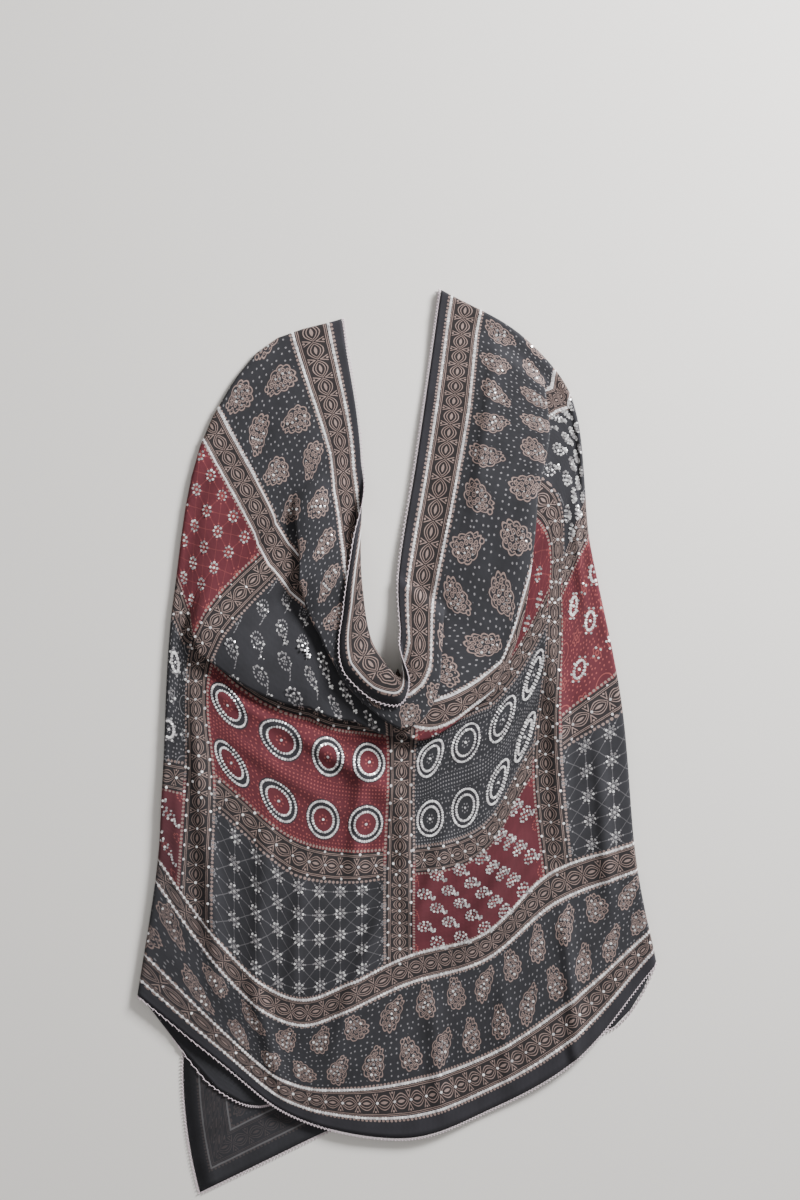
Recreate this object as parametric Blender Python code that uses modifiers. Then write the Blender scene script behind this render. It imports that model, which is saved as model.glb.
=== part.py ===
"""Ajrakh shawl laid out flat: its neck edge opens in a V, the middle falls in two cowl pleats below it,
and both ends are folded under along slanting side folds, with one corner out at the lower left.

The cloth is one sheet. A point of it is (u, v): u metres along its length from the middle, v metres
across its width from the neck edge. drape() moves such a point to its place. Lengths are in metres.
"""
import bmesh
import bpy
import numpy as np

# The cloth as it was cut
LENGTH = 2.75
WIDTH = 1.25
THICK = 0.0015

# How layers lie on each other
LAYER_STEP = 0.003
FOLD_RADIUS = 0.0045
PLEAT_RADIUS = 0.004
EDGE_RADIUS = 0.003
LEFT_TAKE = 0.93
RIGHT_TAKE = 0.97
LEAST_SQUASH, MOST_SQUASH = 0.3, 1.2

# The laid cloth against the shape that PLAN gives
SPREAD_OUT = 1.07

# Side folds, columns: distance from the neck edge, place along the length
LEFT_FOLD = np.array([(0, -0.63), (0.25, -0.63), (0.5, -0.47), (0.75, -0.44), (1.0, -0.43), (1.25, -0.44)])
RIGHT_FOLD = np.array([(0, 0.69), (0.13, 0.70), (0.25, 0.69), (0.5, 0.53), (0.75, 0.50), (1.0, 0.51),
                       (1.25, 0.60)])

# Edge turned outwards at the left of the V, columns: place along the length, width turned out
EDGE_TURN = np.array([(-0.37, 0), (-0.30, 0.010), (-0.25, 0.020), (-0.1875, 0.039), (-0.145, 0.052),
                      (-0.09, 0.063), (-0.045, 0.060), (-0.01, 0.046), (0.03, 0.026), (0.07, 0.010),
                      (0.11, 0)])

# Upper cowl pleat, columns: place along the length, lip below the V, cloth taken up with the edge's turn
UPPER_PLEAT = np.array([(-0.42, 0.17, 0), (-0.30, 0.16, 0.085), (-0.19, 0.10, 0.20), (-0.09, 0.085, 0.215),
                        (0, 0.08, 0.21), (0.10, 0.09, 0.105), (0.19, 0.09, 0)])

# Lower cowl pleat, columns: place along the length, cloth's width above the lip, cloth taken up
LOWER_PLEAT = np.array([(-0.43, 0.47, 0), (-0.375, 0.47, 0.055), (-0.19, 0.42, 0.085), (-0.09, 0.36, 0.145),
                        (0, 0.30, 0.23), (0.10, 0.28, 0.25), (0.19, 0.27, 0.225), (0.30, 0.22, 0.165),
                        (0.375, 0.20, 0.125), (0.50, 0.20, 0.095), (0.58, 0.20, 0.05), (0.65, 0.20, 0)])

# Where the cloth's points lie on the floor: a row for each width, a place (x, y) in each row for the left
# fold, the six lengths of PLAN_LENGTHS and the right fold
PLAN_LENGTHS = (-0.375, -0.1875, -0.09, 0, 0.1875, 0.375)
PLAN_WIDTHS = (0, 0.13, 0.25, 0.5, 0.75, 1.0, 1.25)
PLAN = np.array([
    [(-0.097, 0.700), (-0.065, 0.472), (-0.065, 0.262), (-0.048, 0.165), (-0.003, 0.107), (-0.002, 0.275),
     (0.028, 0.470), (0.068, 0.748)],
    [(-0.217, 0.660), (-0.125, 0.403), (-0.108, 0.212), (-0.092, 0.117), (0.000, 0.057), (0.087, 0.207),
     (0.138, 0.437), (0.200, 0.673)],
    [(-0.298, 0.557), (-0.192, 0.323), (-0.137, 0.170), (-0.077, 0.070), (0.003, 0.023), (0.167, 0.133),
     (0.238, 0.403), (0.262, 0.607)],
    [(-0.372, 0.240), (-0.325, 0.170), (-0.147, 0.067), (-0.073, 0.023), (0.003, 0.000), (0.153, 0.087),
     (0.257, 0.212), (0.313, 0.323)],
    [(-0.390, -0.055), (-0.333, -0.068), (-0.167, -0.193), (-0.083, -0.207), (0.000, -0.200),
     (0.137, -0.163), (0.242, -0.005), (0.362, 0.080)],
    [(-0.400, -0.217), (-0.340, -0.305), (-0.167, -0.450), (-0.083, -0.422), (0.000, -0.383),
     (0.142, -0.338), (0.263, -0.237), (0.388, -0.193)],
    [(-0.430, -0.425), (-0.325, -0.510), (-0.167, -0.625), (-0.080, -0.650), (0.003, -0.658),
     (0.150, -0.610), (0.292, -0.527), (0.423, -0.372)],
])

# The corner that hangs out: its place, the angles of its two edges, and the bend of its end edge
CORNER = (-0.333, -0.75)
CORNER_HEM_ANGLE = np.radians(26)
CORNER_END_ANGLE = np.radians(105)
CORNER_BEND = 0.56
CORNER_NEAR, CORNER_FAR = 0.22, 0.75

# Soft ridges, columns: start x, y, end x, y, height, half width
RIDGES = np.array([
    (-0.345, 0.10, -0.300, -0.42, 0.012, 0.016),
    (0.255, 0.17, 0.268, -0.20, 0.012, 0.016),
    (-0.20, 0.05, 0.00, -0.10, 0.008, 0.018),
    (0.285, -0.49, 0.292, -0.53, 0.006, 0.008),
])

# Lines of the grid in each stretch: the ends, the side folds, the front, and the stretches of a row
END_LINES, SIDE_LINES, FRONT_LINES = 9, 4, 34
ROW_LINES = (1, 3, 2, 4, 1, 4, 2, 4, 2, 4, 15)
FRONT_SHARES = (0, 0.12, 0.28, 0.40, 0.60, 0.74, 0.87, 1)
FRONT_LENGTHS = (-0.375, -0.19, -0.09, 0.04, 0.19, 0.375)
LEAST_STRETCH = 0.008


def ease(x, low, high):
    """0 below low, 1 above high, and a smooth rise between."""
    share = np.clip((x - low) / (high - low), 0, 1)
    return share * share * (3 - 2 * share)


def look_up(x, table, column=1):
    """The value in a table's column at x, in a straight line between rows."""
    return np.interp(x, table[:, 0], table[:, column])


def spline(knots, values, x):
    """A smooth curve through the values at each point's own knots, read at x, straight past its ends."""
    gaps = np.diff(knots, axis=1)[..., None]
    slopes = np.diff(values, axis=1) / gaps
    tangents = np.concatenate([slopes[:, :1], slopes[:, -1:]], axis=1)
    inner = (gaps[:, 1:] * slopes[:, :-1] + gaps[:, :-1] * slopes[:, 1:]) / (gaps[:, 1:] + gaps[:, :-1])
    tangents = np.concatenate([tangents[:, :1], inner, tangents[:, 1:]], axis=1)
    here = np.arange(len(x))
    span = (knots[:, 1:-1] <= x[:, None]).sum(axis=1)
    gap = gaps[here, span]
    share = (x - knots[here, span])[:, None] / gap
    t = np.clip(share, 0, 1)
    start, end = values[here, span], values[here, span + 1]
    leave, arrive = tangents[here, span], tangents[here, span + 1]
    curve = (start * (1 + 2 * t) * (1 - t) ** 2 + end * t * t * (3 - 2 * t)
             + gap * (leave * t * (1 - t) ** 2 - arrive * t * t * (1 - t)))
    beyond = (share - t) * gap
    return curve + np.where(beyond < 0, leave, arrive) * beyond


def turn_of(taken, radius):
    """How far a fold turns over, and how far it runs back, for the cloth that it takes up."""
    angles = np.linspace(0, np.pi, 200)
    turn = np.interp(taken / (2 * radius), angles - np.sin(angles), angles)
    return turn, np.maximum(taken / 2 - np.pi * radius, 0)


def pleats(u):
    """The folds of the section at u: the turned edge, then each pleat's lip, turn and back run."""
    edge = look_up(u, EDGE_TURN)
    edge_turn = np.pi * ease(edge, 0, 0.02)
    edge_taken = edge + edge_turn * EDGE_RADIUS
    upper_taken = np.maximum(look_up(u, UPPER_PLEAT, 2) - edge_taken, 0)
    upper_turn, upper_back = turn_of(upper_taken, PLEAT_RADIUS)
    upper_lip = look_up(u, UPPER_PLEAT) + edge_taken
    lower_taken = look_up(u, LOWER_PLEAT, 2)
    lower_turn, lower_back = turn_of(lower_taken, PLEAT_RADIUS)
    upper_end = upper_lip + 2 * upper_turn * PLEAT_RADIUS + upper_back
    lower_lip = np.maximum(look_up(u, LOWER_PLEAT), upper_end + 0.01)
    return {"edge": edge, "edge_turn": edge_turn, "edge_taken": edge_taken,
            "lips": (upper_lip, lower_lip), "turns": (upper_turn, lower_turn),
            "backs": (upper_back, lower_back), "taken": (upper_taken, lower_taken)}


def taken_up(u):
    """All the cloth that the folds of the section at u take up."""
    folds = pleats(u)
    return folds["edge_taken"] + folds["taken"][0] + folds["taken"][1]


def pleat_run(past, turn, back):
    """Along and down a pleat, past its lip: a turn over, a straight run back and a turn forward."""
    arc = turn * PLEAT_RADIUS
    first = np.clip(past, 0, arc) / PLEAT_RADIUS
    straight = np.clip(past - arc, 0, back)
    last = turn - np.clip(past - arc - back, 0, arc) / PLEAT_RADIUS
    onward = np.maximum(past - 2 * arc - back, 0)
    along = PLEAT_RADIUS * (np.sin(first) + np.sin(turn) - np.sin(last)) + straight * np.cos(turn) + onward
    down = PLEAT_RADIUS * (1 - np.cos(first) + np.cos(last) - np.cos(turn)) + straight * np.sin(turn)
    return along, down


def section(u, v):
    """The front's section across the width at u: how far below the V a point lies, and how high."""
    folds = pleats(u)
    inside = folds["edge_taken"] - v
    rolled = np.clip(inside, 0, folds["edge_turn"] * EDGE_RADIUS) / EDGE_RADIUS
    turned = np.maximum(inside - folds["edge_turn"] * EDGE_RADIUS, 0)
    turned_back = -EDGE_RADIUS * np.sin(rolled) - turned * np.cos(folds["edge_turn"])
    along = np.where(inside > 0, turned_back, -inside)
    height = EDGE_RADIUS * (1 - np.cos(rolled)) + turned * np.sin(folds["edge_turn"])
    lip_reach = 0
    drops = []
    for lip, turn, back, taken in zip(folds["lips"], folds["turns"], folds["backs"], folds["taken"]):
        past = v - lip
        run, down = pleat_run(past, turn, back)
        along = np.where(past > 0, lip - folds["edge_taken"] - lip_reach + run, along)
        drops.append((lip - folds["edge_taken"] - lip_reach, turn, back, down))
        lip_reach = lip_reach + taken
    for lip_along, turn, back, down in drops:
        whole = 2 * PLEAT_RADIUS * (1 - np.cos(turn)) + back * np.sin(turn)
        ramp_top = lip_along - back - 2 * PLEAT_RADIUS
        height = height + (whole - down) * ease(along, ramp_top - 0.12, ramp_top)
    return along, height


def plan(u, v, along):
    """The place on the floor of a point at u, `along` metres below the V, v metres across the cloth."""
    left, right = look_up(v, LEFT_FOLD), look_up(v, RIGHT_FOLD)
    lengths = np.stack([left, *(np.full_like(u, length) for length in PLAN_LENGTHS), right], axis=1)
    rows = np.stack([spline(lengths, np.broadcast_to(row, (len(u), *row.shape)), u) for row in PLAN],
                    axis=1)
    steps = np.linalg.norm(np.diff(rows, axis=1), axis=2)
    reach = np.concatenate([np.zeros((len(u), 1)), np.cumsum(steps, axis=1)], axis=1)
    taken = taken_up(u)
    fourth = PLAN_WIDTHS[4] - taken
    knots = np.column_stack([*(fourth * reach[:, k] / reach[:, 4] for k in range(4)),
                             *(PLAN_WIDTHS[k] - taken for k in (4, 5, 6))])
    return spline(knots, rows, along) * SPREAD_OUT


def layer_levels(u, along):
    """The heights of the left end and of the front where the layers below reach, and lower elsewhere."""
    v = WIDTH * along / (WIDTH - taken_up(u))
    left, right = look_up(v, LEFT_FOLD), look_up(v, RIGHT_FOLD)
    right_end = right - RIGHT_TAKE * (LENGTH / 2 - right)
    left_end = left + LEFT_TAKE * (LENGTH / 2 + left)
    over_right = np.maximum(ease(u, right_end - 0.10, right_end - 0.03), ease(v, 0.55, 0.8))
    over_left = 1 - ease(u, left_end + 0.03, left_end + 0.10)
    lower = THICK / 2 + LAYER_STEP * over_right
    return lower, lower + LAYER_STEP * over_left


def ridge_height(place):
    """The soft ridges' height at a place: a bell across each ridge, tapered to its two ends."""
    height = np.zeros(len(place))
    for start_x, start_y, end_x, end_y, top, half in RIDGES:
        start, run = np.array((start_x, start_y)), np.array((end_x - start_x, end_y - start_y))
        offset = place / SPREAD_OUT - start
        share = offset @ run / (run @ run)
        across = np.linalg.norm(offset - np.clip(share, 0, 1)[:, None] * run, axis=1)
        taper = ease(share, -0.1, 0.3) * (1 - ease(share, 0.7, 1.1))
        height = height + top * taper * np.exp(-(across / half) ** 2)
    return height


def front_point(u, v):
    """The front layer: its section on the plan and on the layers below, rolled softly at the sides."""
    along, height = section(u, v)
    place = plan(u, v, along)
    from_side = np.minimum(u - look_up(v, LEFT_FOLD), look_up(v, RIGHT_FOLD) - u)
    level = layer_levels(u, along)[1]
    roll = (2 * FOLD_RADIUS - LAYER_STEP) * np.exp(-(from_side / 0.025) ** 2)
    ridge = ridge_height(place) * ease(from_side, 0, 0.05)
    return along, place, level + height + roll + ridge


def corner_place(u, v):
    """The place of the corner that hangs out, laid flat from its own two edges."""
    from_end, from_hem = LENGTH / 2 - u, WIDTH - v
    x = CORNER[0] * SPREAD_OUT + from_end * np.cos(CORNER_HEM_ANGLE) + from_hem * np.cos(CORNER_END_ANGLE)
    y = CORNER[1] * SPREAD_OUT + from_end * np.sin(CORNER_HEM_ANGLE) + from_hem * np.sin(CORNER_END_ANGLE)
    return np.column_stack([x + CORNER_BEND * np.minimum(from_hem, 0.3) ** 2, y])


def side_radius(v, side):
    """The side fold's radius along the length, so that across the slanting fold it is FOLD_RADIUS."""
    table, step = LEFT_FOLD if side < 0 else RIGHT_FOLD, 0.01
    fold, before, after = (look_up(width, table) for width in (v, v - step, v + step))
    at_fold, inwards = (plan(u, v, section(u, v)[0]) for u in (fold, fold - side * step))
    run = plan(after, v + step, section(after, v + step)[0])
    run -= plan(before, v - step, section(before, v - step)[0])
    inwards = inwards - at_fold
    cross = np.abs(run[:, 0] * inwards[:, 1] - run[:, 1] * inwards[:, 0])
    squash = cross / (np.linalg.norm(run, axis=1) * step)
    return FOLD_RADIUS / np.clip(squash, LEAST_SQUASH, MOST_SQUASH)


def end_point(u, v, side):
    """A folded-under end: half a turn round the side fold, then flat below the front."""
    fold = look_up(v, LEFT_FOLD if side < 0 else RIGHT_FOLD)
    take = LEFT_TAKE if side < 0 else RIGHT_TAKE
    radius = side_radius(v, side)
    past = side * (u - fold)
    angle = np.clip(past / radius, 0, np.pi)
    run = np.maximum(past - np.pi * radius, 0)
    folded = fold + side * (radius * np.sin(angle) - run * take)
    fold_along, _, fold_height = front_point(fold, v)
    away = ease(run, 0, 0.25)
    taken = taken_up(folded)
    flat_along = v * (1 - taken / WIDTH) + 0.012 * (1 - v / WIDTH) - 0.02 * v / WIDTH
    along = fold_along + (flat_along - fold_along) * away
    place = plan(folded, v, along)
    if side < 0:
        rest = layer_levels(folded, along)[0]
    else:
        rest = np.full_like(u, THICK / 2)
        near = 1 - ease(np.hypot(LENGTH / 2 - u, WIDTH - v), CORNER_NEAR, CORNER_FAR)
        place = place + (corner_place(u, v) - place) * near[:, None]
    return place, fold_height - (fold_height - rest) * (1 - np.cos(angle)) / 2


def drape(u, v):
    """The place of each point (u, v) of the cloth, as laid out."""
    left, right = look_up(v, LEFT_FOLD), look_up(v, RIGHT_FOLD)
    _, place, height = front_point(np.clip(u, left, right), v)
    for side, beyond in ((-1, u < left), (1, u > right)):
        end_place, end_height = end_point(u, v, side)
        place = np.where(beyond[:, None], end_place, place)
        height = np.where(beyond, end_height, height)
    return np.column_stack([place, height])


def spread(shares, edges, counts):
    """Lines at whole numbers, spread evenly in each stretch between the edges, counts[k] in stretch k."""
    marks = np.concatenate([[0], np.cumsum(counts)])
    span = np.clip(np.searchsorted(marks, shares, side="right") - 1, 0, len(counts) - 1)
    here = np.arange(len(shares))
    part = (shares - marks[span]) / np.asarray(counts)[span]
    return edges[here, span] * (1 - part) + edges[here, span + 1] * part


def column_places(line, v):
    """The place along the cloth of each grid column: close together round the two side folds."""
    left, right = look_up(v, LEFT_FOLD), look_up(v, RIGHT_FOLD)
    left_roll, right_roll = np.pi * side_radius(v, -1), np.pi * side_radius(v, 1)
    inner = [np.full_like(v, length) for length in FRONT_LENGTHS]
    edges = np.stack([np.full_like(v, -LENGTH / 2), left - left_roll, left, *inner, right,
                      right + right_roll, np.full_like(v, LENGTH / 2)], axis=1)
    front = np.diff(FRONT_SHARES) * FRONT_LINES
    return spread(line, edges, (END_LINES, SIDE_LINES, *front, SIDE_LINES, END_LINES))


def row_places(line, u):
    """The place across the cloth of each grid row, so that the rows follow the folds."""
    folds = pleats(u)
    stretches = [folds["edge"], folds["edge_turn"] * EDGE_RADIUS]
    for turn, back in zip(folds["turns"], folds["backs"]):
        stretches += [None, turn * PLEAT_RADIUS, back, turn * PLEAT_RADIUS]
    lips = iter(folds["lips"])
    edges = [np.zeros_like(u)]
    for stretch in stretches:
        if stretch is None:
            edges.append(np.maximum(next(lips), edges[-1] + LEAST_STRETCH))
        else:
            edges.append(edges[-1] + np.maximum(stretch, LEAST_STRETCH))
    edges.append(np.full_like(u, WIDTH))
    return spread(line, np.stack(edges, axis=1), ROW_LINES)


def make_material():
    """Block-printed cloth: a dull blue-black."""
    cloth = bpy.data.materials.new("printed_cloth")
    cloth.use_nodes = True
    shader = cloth.node_tree.nodes["Principled BSDF"]
    shader.inputs["Base Color"].default_value = (0.045, 0.03, 0.04, 1)
    shader.inputs["Roughness"].default_value = 0.85
    shader.inputs["Metallic"].default_value = 0.0
    cloth.diffuse_color = (0.045, 0.03, 0.04, 1)
    return cloth


def make_shawl():
    """A grid of the cloth's own coordinates in its laid-out shape over the origin, with a thickness."""
    columns = 2 * END_LINES + 2 * SIDE_LINES + FRONT_LINES
    rows = sum(ROW_LINES)
    grid = bmesh.new()
    bmesh.ops.create_grid(grid, x_segments=columns, y_segments=rows, size=0.5)
    mesh = bpy.data.meshes.new("shawl")
    grid.to_mesh(mesh)
    grid.free()

    flat = np.empty(len(mesh.vertices) * 3)
    mesh.vertices.foreach_get("co", flat)
    flat = flat.reshape(-1, 3) + 0.5
    column_line = np.round(flat[:, 0] * columns)
    row_line = np.round(flat[:, 1] * rows)
    v = row_line / rows * WIDTH
    for _ in range(40):
        u = column_places(column_line, v)
        v = row_places(row_line, u)
    points = drape(u, v)
    points[:, :2] -= (points[:, :2].min(axis=0) + points[:, :2].max(axis=0)) / 2
    mesh.vertices.foreach_set("co", points.ravel())
    mesh.update()
    mesh.flip_normals()
    mesh.shade_smooth()

    shawl = bpy.data.objects.new("shawl", mesh)
    shawl.data.materials.append(make_material())
    solidify = shawl.modifiers.new("thickness", "SOLIDIFY")
    solidify.thickness = THICK
    solidify.offset = 0
    return shawl


def main():
    for old in list(bpy.data.objects):
        bpy.data.objects.remove(old, do_unlink=True)
    collection = bpy.data.collections.new("ajrakh_shawl")
    bpy.context.scene.collection.children.link(collection)
    collection.objects.link(make_shawl())


main()
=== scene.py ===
# %% [markdown]
# # A block-printed shawl, laid out on a pale floor
# The real thing is one length of thin cotton, resist-printed in red and blue-black with a patchwork of
# small designs, worked over with sequins and edged with a fine crocheted picot. It could be simulated,
# but its folds are known ones, so here each point of the cloth is placed by a function of where it is
# on the cloth, and the print, the sequins and the edging all use that same function.

# %% Load the frame
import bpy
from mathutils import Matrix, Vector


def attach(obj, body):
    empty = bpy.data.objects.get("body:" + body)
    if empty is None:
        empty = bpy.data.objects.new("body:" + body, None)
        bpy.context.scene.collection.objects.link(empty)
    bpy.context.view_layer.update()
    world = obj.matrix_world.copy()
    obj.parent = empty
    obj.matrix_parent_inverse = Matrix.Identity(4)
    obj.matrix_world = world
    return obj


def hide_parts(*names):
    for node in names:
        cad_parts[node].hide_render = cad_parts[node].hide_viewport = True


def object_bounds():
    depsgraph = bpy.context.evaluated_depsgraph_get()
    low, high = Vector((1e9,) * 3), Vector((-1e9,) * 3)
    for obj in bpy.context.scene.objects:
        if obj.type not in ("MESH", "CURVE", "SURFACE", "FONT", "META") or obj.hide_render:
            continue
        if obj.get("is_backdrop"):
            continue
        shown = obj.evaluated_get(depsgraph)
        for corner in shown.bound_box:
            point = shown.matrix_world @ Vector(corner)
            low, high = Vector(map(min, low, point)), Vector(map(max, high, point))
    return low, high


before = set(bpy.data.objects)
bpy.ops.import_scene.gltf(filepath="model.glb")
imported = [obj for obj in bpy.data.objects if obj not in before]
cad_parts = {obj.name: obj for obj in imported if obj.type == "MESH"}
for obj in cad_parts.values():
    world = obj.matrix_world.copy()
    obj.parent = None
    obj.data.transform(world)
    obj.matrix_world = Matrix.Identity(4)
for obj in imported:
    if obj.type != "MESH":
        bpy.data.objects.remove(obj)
cad_low, cad_high = (list(corner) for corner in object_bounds())

import bpy
import numpy as np

print("frame box", [round(value, 3) for value in (*cad_low, *cad_high)])

# %% [markdown]
# ## The cloth's own sizes
# A point of the cloth is (u, v): u metres along its length from the middle, v metres across its width
# from the neck edge. The side folds, the turned edge and the two cowl pleats are short tables in those
# terms. The plan says where on the floor a few points of the cloth lie.

# %% Sizes, folds and plan
LENGTH, WIDTH, THICK = 2.75, 1.25, 0.0015
LAYER_STEP, FOLD_RADIUS, PLEAT_RADIUS, EDGE_RADIUS = 0.003, 0.0045, 0.004, 0.003
TAKE = {-1: 0.93, 1: 0.97}
LEAST_SQUASH, MOST_SQUASH = 0.3, 1.2

# The plan below was drawn at 600 pixels of the picture to the metre, and SPREAD_OUT enlarges it. With it
# the sheet holds 0.78 of the flat cloth's area; without it, about 0.68, which is too little
SPREAD_OUT = 1.07

# Side folds, columns: distance from the neck edge, place along the length
SIDE_FOLD = {
    -1: np.array([(0, -0.63), (0.25, -0.63), (0.5, -0.47), (0.75, -0.44), (1.0, -0.43), (1.25, -0.44)]),
    1: np.array([(0, 0.69), (0.13, 0.70), (0.25, 0.69), (0.5, 0.53), (0.75, 0.50), (1.0, 0.51),
                 (1.25, 0.60)]),
}

# Edge turned outwards, columns: place along the length, width turned out
EDGE_TURN = np.array([(-0.37, 0), (-0.30, 0.010), (-0.25, 0.020), (-0.1875, 0.039), (-0.145, 0.052),
                      (-0.09, 0.063), (-0.045, 0.060), (-0.01, 0.046), (0.03, 0.026), (0.07, 0.010),
                      (0.11, 0)])

# Upper cowl pleat, columns: place along the length, lip below the V, cloth taken up with the edge's turn
UPPER_PLEAT = np.array([(-0.42, 0.17, 0), (-0.30, 0.16, 0.085), (-0.19, 0.10, 0.20), (-0.09, 0.085, 0.215),
                        (0, 0.08, 0.21), (0.10, 0.09, 0.105), (0.19, 0.09, 0)])

# Lower cowl pleat, columns: place along the length, cloth's width above the lip, cloth taken up
LOWER_PLEAT = np.array([(-0.43, 0.47, 0), (-0.375, 0.47, 0.055), (-0.19, 0.42, 0.085), (-0.09, 0.36, 0.145),
                        (0, 0.30, 0.23), (0.10, 0.28, 0.25), (0.19, 0.27, 0.225), (0.30, 0.22, 0.165),
                        (0.375, 0.20, 0.125), (0.50, 0.20, 0.095), (0.58, 0.20, 0.05), (0.65, 0.20, 0)])

# Where the cloth's points lie on the floor: a row for each width, a place (x, y) in each row for the left
# fold, the six lengths of PLAN_LENGTHS and the right fold
PLAN_LENGTHS = (-0.375, -0.1875, -0.09, 0, 0.1875, 0.375)
PLAN_WIDTHS = (0, 0.13, 0.25, 0.5, 0.75, 1.0, 1.25)
PLAN = np.array([
    [(-0.097, 0.700), (-0.065, 0.472), (-0.065, 0.262), (-0.048, 0.165), (-0.003, 0.107), (-0.002, 0.275),
     (0.028, 0.470), (0.068, 0.748)],
    [(-0.217, 0.660), (-0.125, 0.403), (-0.108, 0.212), (-0.092, 0.117), (0.000, 0.057), (0.087, 0.207),
     (0.138, 0.437), (0.200, 0.673)],
    [(-0.298, 0.557), (-0.192, 0.323), (-0.137, 0.170), (-0.077, 0.070), (0.003, 0.023), (0.167, 0.133),
     (0.238, 0.403), (0.262, 0.607)],
    [(-0.372, 0.240), (-0.325, 0.170), (-0.147, 0.067), (-0.073, 0.023), (0.003, 0.000), (0.153, 0.087),
     (0.257, 0.212), (0.313, 0.323)],
    [(-0.390, -0.055), (-0.333, -0.068), (-0.167, -0.193), (-0.083, -0.207), (0.000, -0.200),
     (0.137, -0.163), (0.242, -0.005), (0.362, 0.080)],
    [(-0.400, -0.217), (-0.340, -0.305), (-0.167, -0.450), (-0.083, -0.422), (0.000, -0.383),
     (0.142, -0.338), (0.263, -0.237), (0.388, -0.193)],
    [(-0.430, -0.425), (-0.325, -0.510), (-0.167, -0.625), (-0.080, -0.650), (0.003, -0.658),
     (0.150, -0.610), (0.292, -0.527), (0.423, -0.372)],
])

# The corner that hangs out: its place, the angles of its two edges, and the bend of its end edge
CORNER, CORNER_BEND = (-0.333, -0.75), 0.56
CORNER_HEM_ANGLE, CORNER_END_ANGLE = np.radians(26), np.radians(105)
CORNER_NEAR, CORNER_FAR = 0.22, 0.75

# Soft ridges, columns: start x, y, end x, y, height, half width
RIDGES = np.array([
    (-0.345, 0.10, -0.300, -0.42, 0.012, 0.016),
    (0.255, 0.17, 0.268, -0.20, 0.012, 0.016),
    (-0.20, 0.05, 0.00, -0.10, 0.008, 0.018),
    (0.285, -0.49, 0.292, -0.53, 0.006, 0.008),
])

# %% [markdown]
# ## Small tools for curves
# A spline that passes through the plan's points can be read for every point of the cloth at once, if its
# knots are arrays with a row for each point. That is why there is no loop over vertices anywhere here.

# %% Ease, tables and splines
def ease(x, low, high):
    """0 below low, 1 above high, and the cubic 3 s^2 - 2 s^3 of the share s between."""
    share = np.clip((x - low) / (high - low), 0, 1)
    return share * share * (3 - 2 * share)


def look_up(x, table, column=1):
    """The value in a table's column at x, in a straight line between rows."""
    return np.interp(x, table[:, 0], table[:, column])


def spline(knots, values, x):
    """Hermite cubics through the values at each point's own knots, straight past the ends.

    The slope at a knot is the mean of the slopes on its two sides, each weighted by the other's gap.
    """
    gaps = np.diff(knots, axis=1)[..., None]
    slopes = np.diff(values, axis=1) / gaps
    inner = (gaps[:, 1:] * slopes[:, :-1] + gaps[:, :-1] * slopes[:, 1:]) / (gaps[:, 1:] + gaps[:, :-1])
    tangents = np.concatenate([slopes[:, :1], inner, slopes[:, -1:]], axis=1)
    here = np.arange(len(x))
    span = (knots[:, 1:-1] <= x[:, None]).sum(axis=1)
    gap = gaps[here, span]
    share = (x - knots[here, span])[:, None] / gap
    t = np.clip(share, 0, 1)
    start, end = values[here, span], values[here, span + 1]
    leave, arrive = tangents[here, span], tangents[here, span + 1]
    curve = (start * (1 + 2 * t) * (1 - t) ** 2 + end * t * t * (3 - 2 * t)
             + gap * (leave * t * (1 - t) ** 2 - arrive * t * t * (1 - t)))
    beyond = (share - t) * gap
    return curve + np.where(beyond < 0, leave, arrive) * beyond

# %% [markdown]
# ## The section: turned edge and pleats
# Across the width, the front runs down from the V and folds back on itself twice. Each pleat is a lip
# that turns over, a straight run back, and a turn forward, and the section never stretches. Where a
# pleat takes up only a little cloth it turns less than half way over, and it dies out as a soft ripple.

# %% Pleats
def turn_of(taken, radius):
    """Two arcs of an angle a take up 2 r (a - sin a); past half a turn each, the rest is the run back."""
    angles = np.linspace(0, np.pi, 200)
    turn = np.interp(taken / (2 * radius), angles - np.sin(angles), angles)
    return turn, np.maximum(taken / 2 - np.pi * radius, 0)


def pleats(u):
    """The folds of the section at u: the turned edge, then each pleat's lip, turn and back run."""
    edge = look_up(u, EDGE_TURN)
    edge_turn = np.pi * ease(edge, 0, 0.02)
    edge_taken = edge + edge_turn * EDGE_RADIUS
    upper_taken = np.maximum(look_up(u, UPPER_PLEAT, 2) - edge_taken, 0)
    upper_turn, upper_back = turn_of(upper_taken, PLEAT_RADIUS)
    upper_lip = look_up(u, UPPER_PLEAT) + edge_taken
    lower_taken = look_up(u, LOWER_PLEAT, 2)
    lower_turn, lower_back = turn_of(lower_taken, PLEAT_RADIUS)
    upper_end = upper_lip + 2 * upper_turn * PLEAT_RADIUS + upper_back
    lower_lip = np.maximum(look_up(u, LOWER_PLEAT), upper_end + 0.01)
    return {"edge": edge, "edge_turn": edge_turn, "edge_taken": edge_taken,
            "lips": (upper_lip, lower_lip), "turns": (upper_turn, lower_turn),
            "backs": (upper_back, lower_back), "taken": (upper_taken, lower_taken)}


def taken_up(u):
    """All the cloth that the folds of the section at u take up."""
    folds = pleats(u)
    return folds["edge_taken"] + folds["taken"][0] + folds["taken"][1]


def pleat_run(past, turn, back):
    """Along and down a pleat past its lip: sines and cosines on its two arcs, a line between."""
    arc = turn * PLEAT_RADIUS
    first = np.clip(past, 0, arc) / PLEAT_RADIUS
    straight = np.clip(past - arc, 0, back)
    last = turn - np.clip(past - arc - back, 0, arc) / PLEAT_RADIUS
    onward = np.maximum(past - 2 * arc - back, 0)
    along = PLEAT_RADIUS * (np.sin(first) + np.sin(turn) - np.sin(last)) + straight * np.cos(turn) + onward
    down = PLEAT_RADIUS * (1 - np.cos(first) + np.cos(last) - np.cos(turn)) + straight * np.sin(turn)
    return along, down


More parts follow.
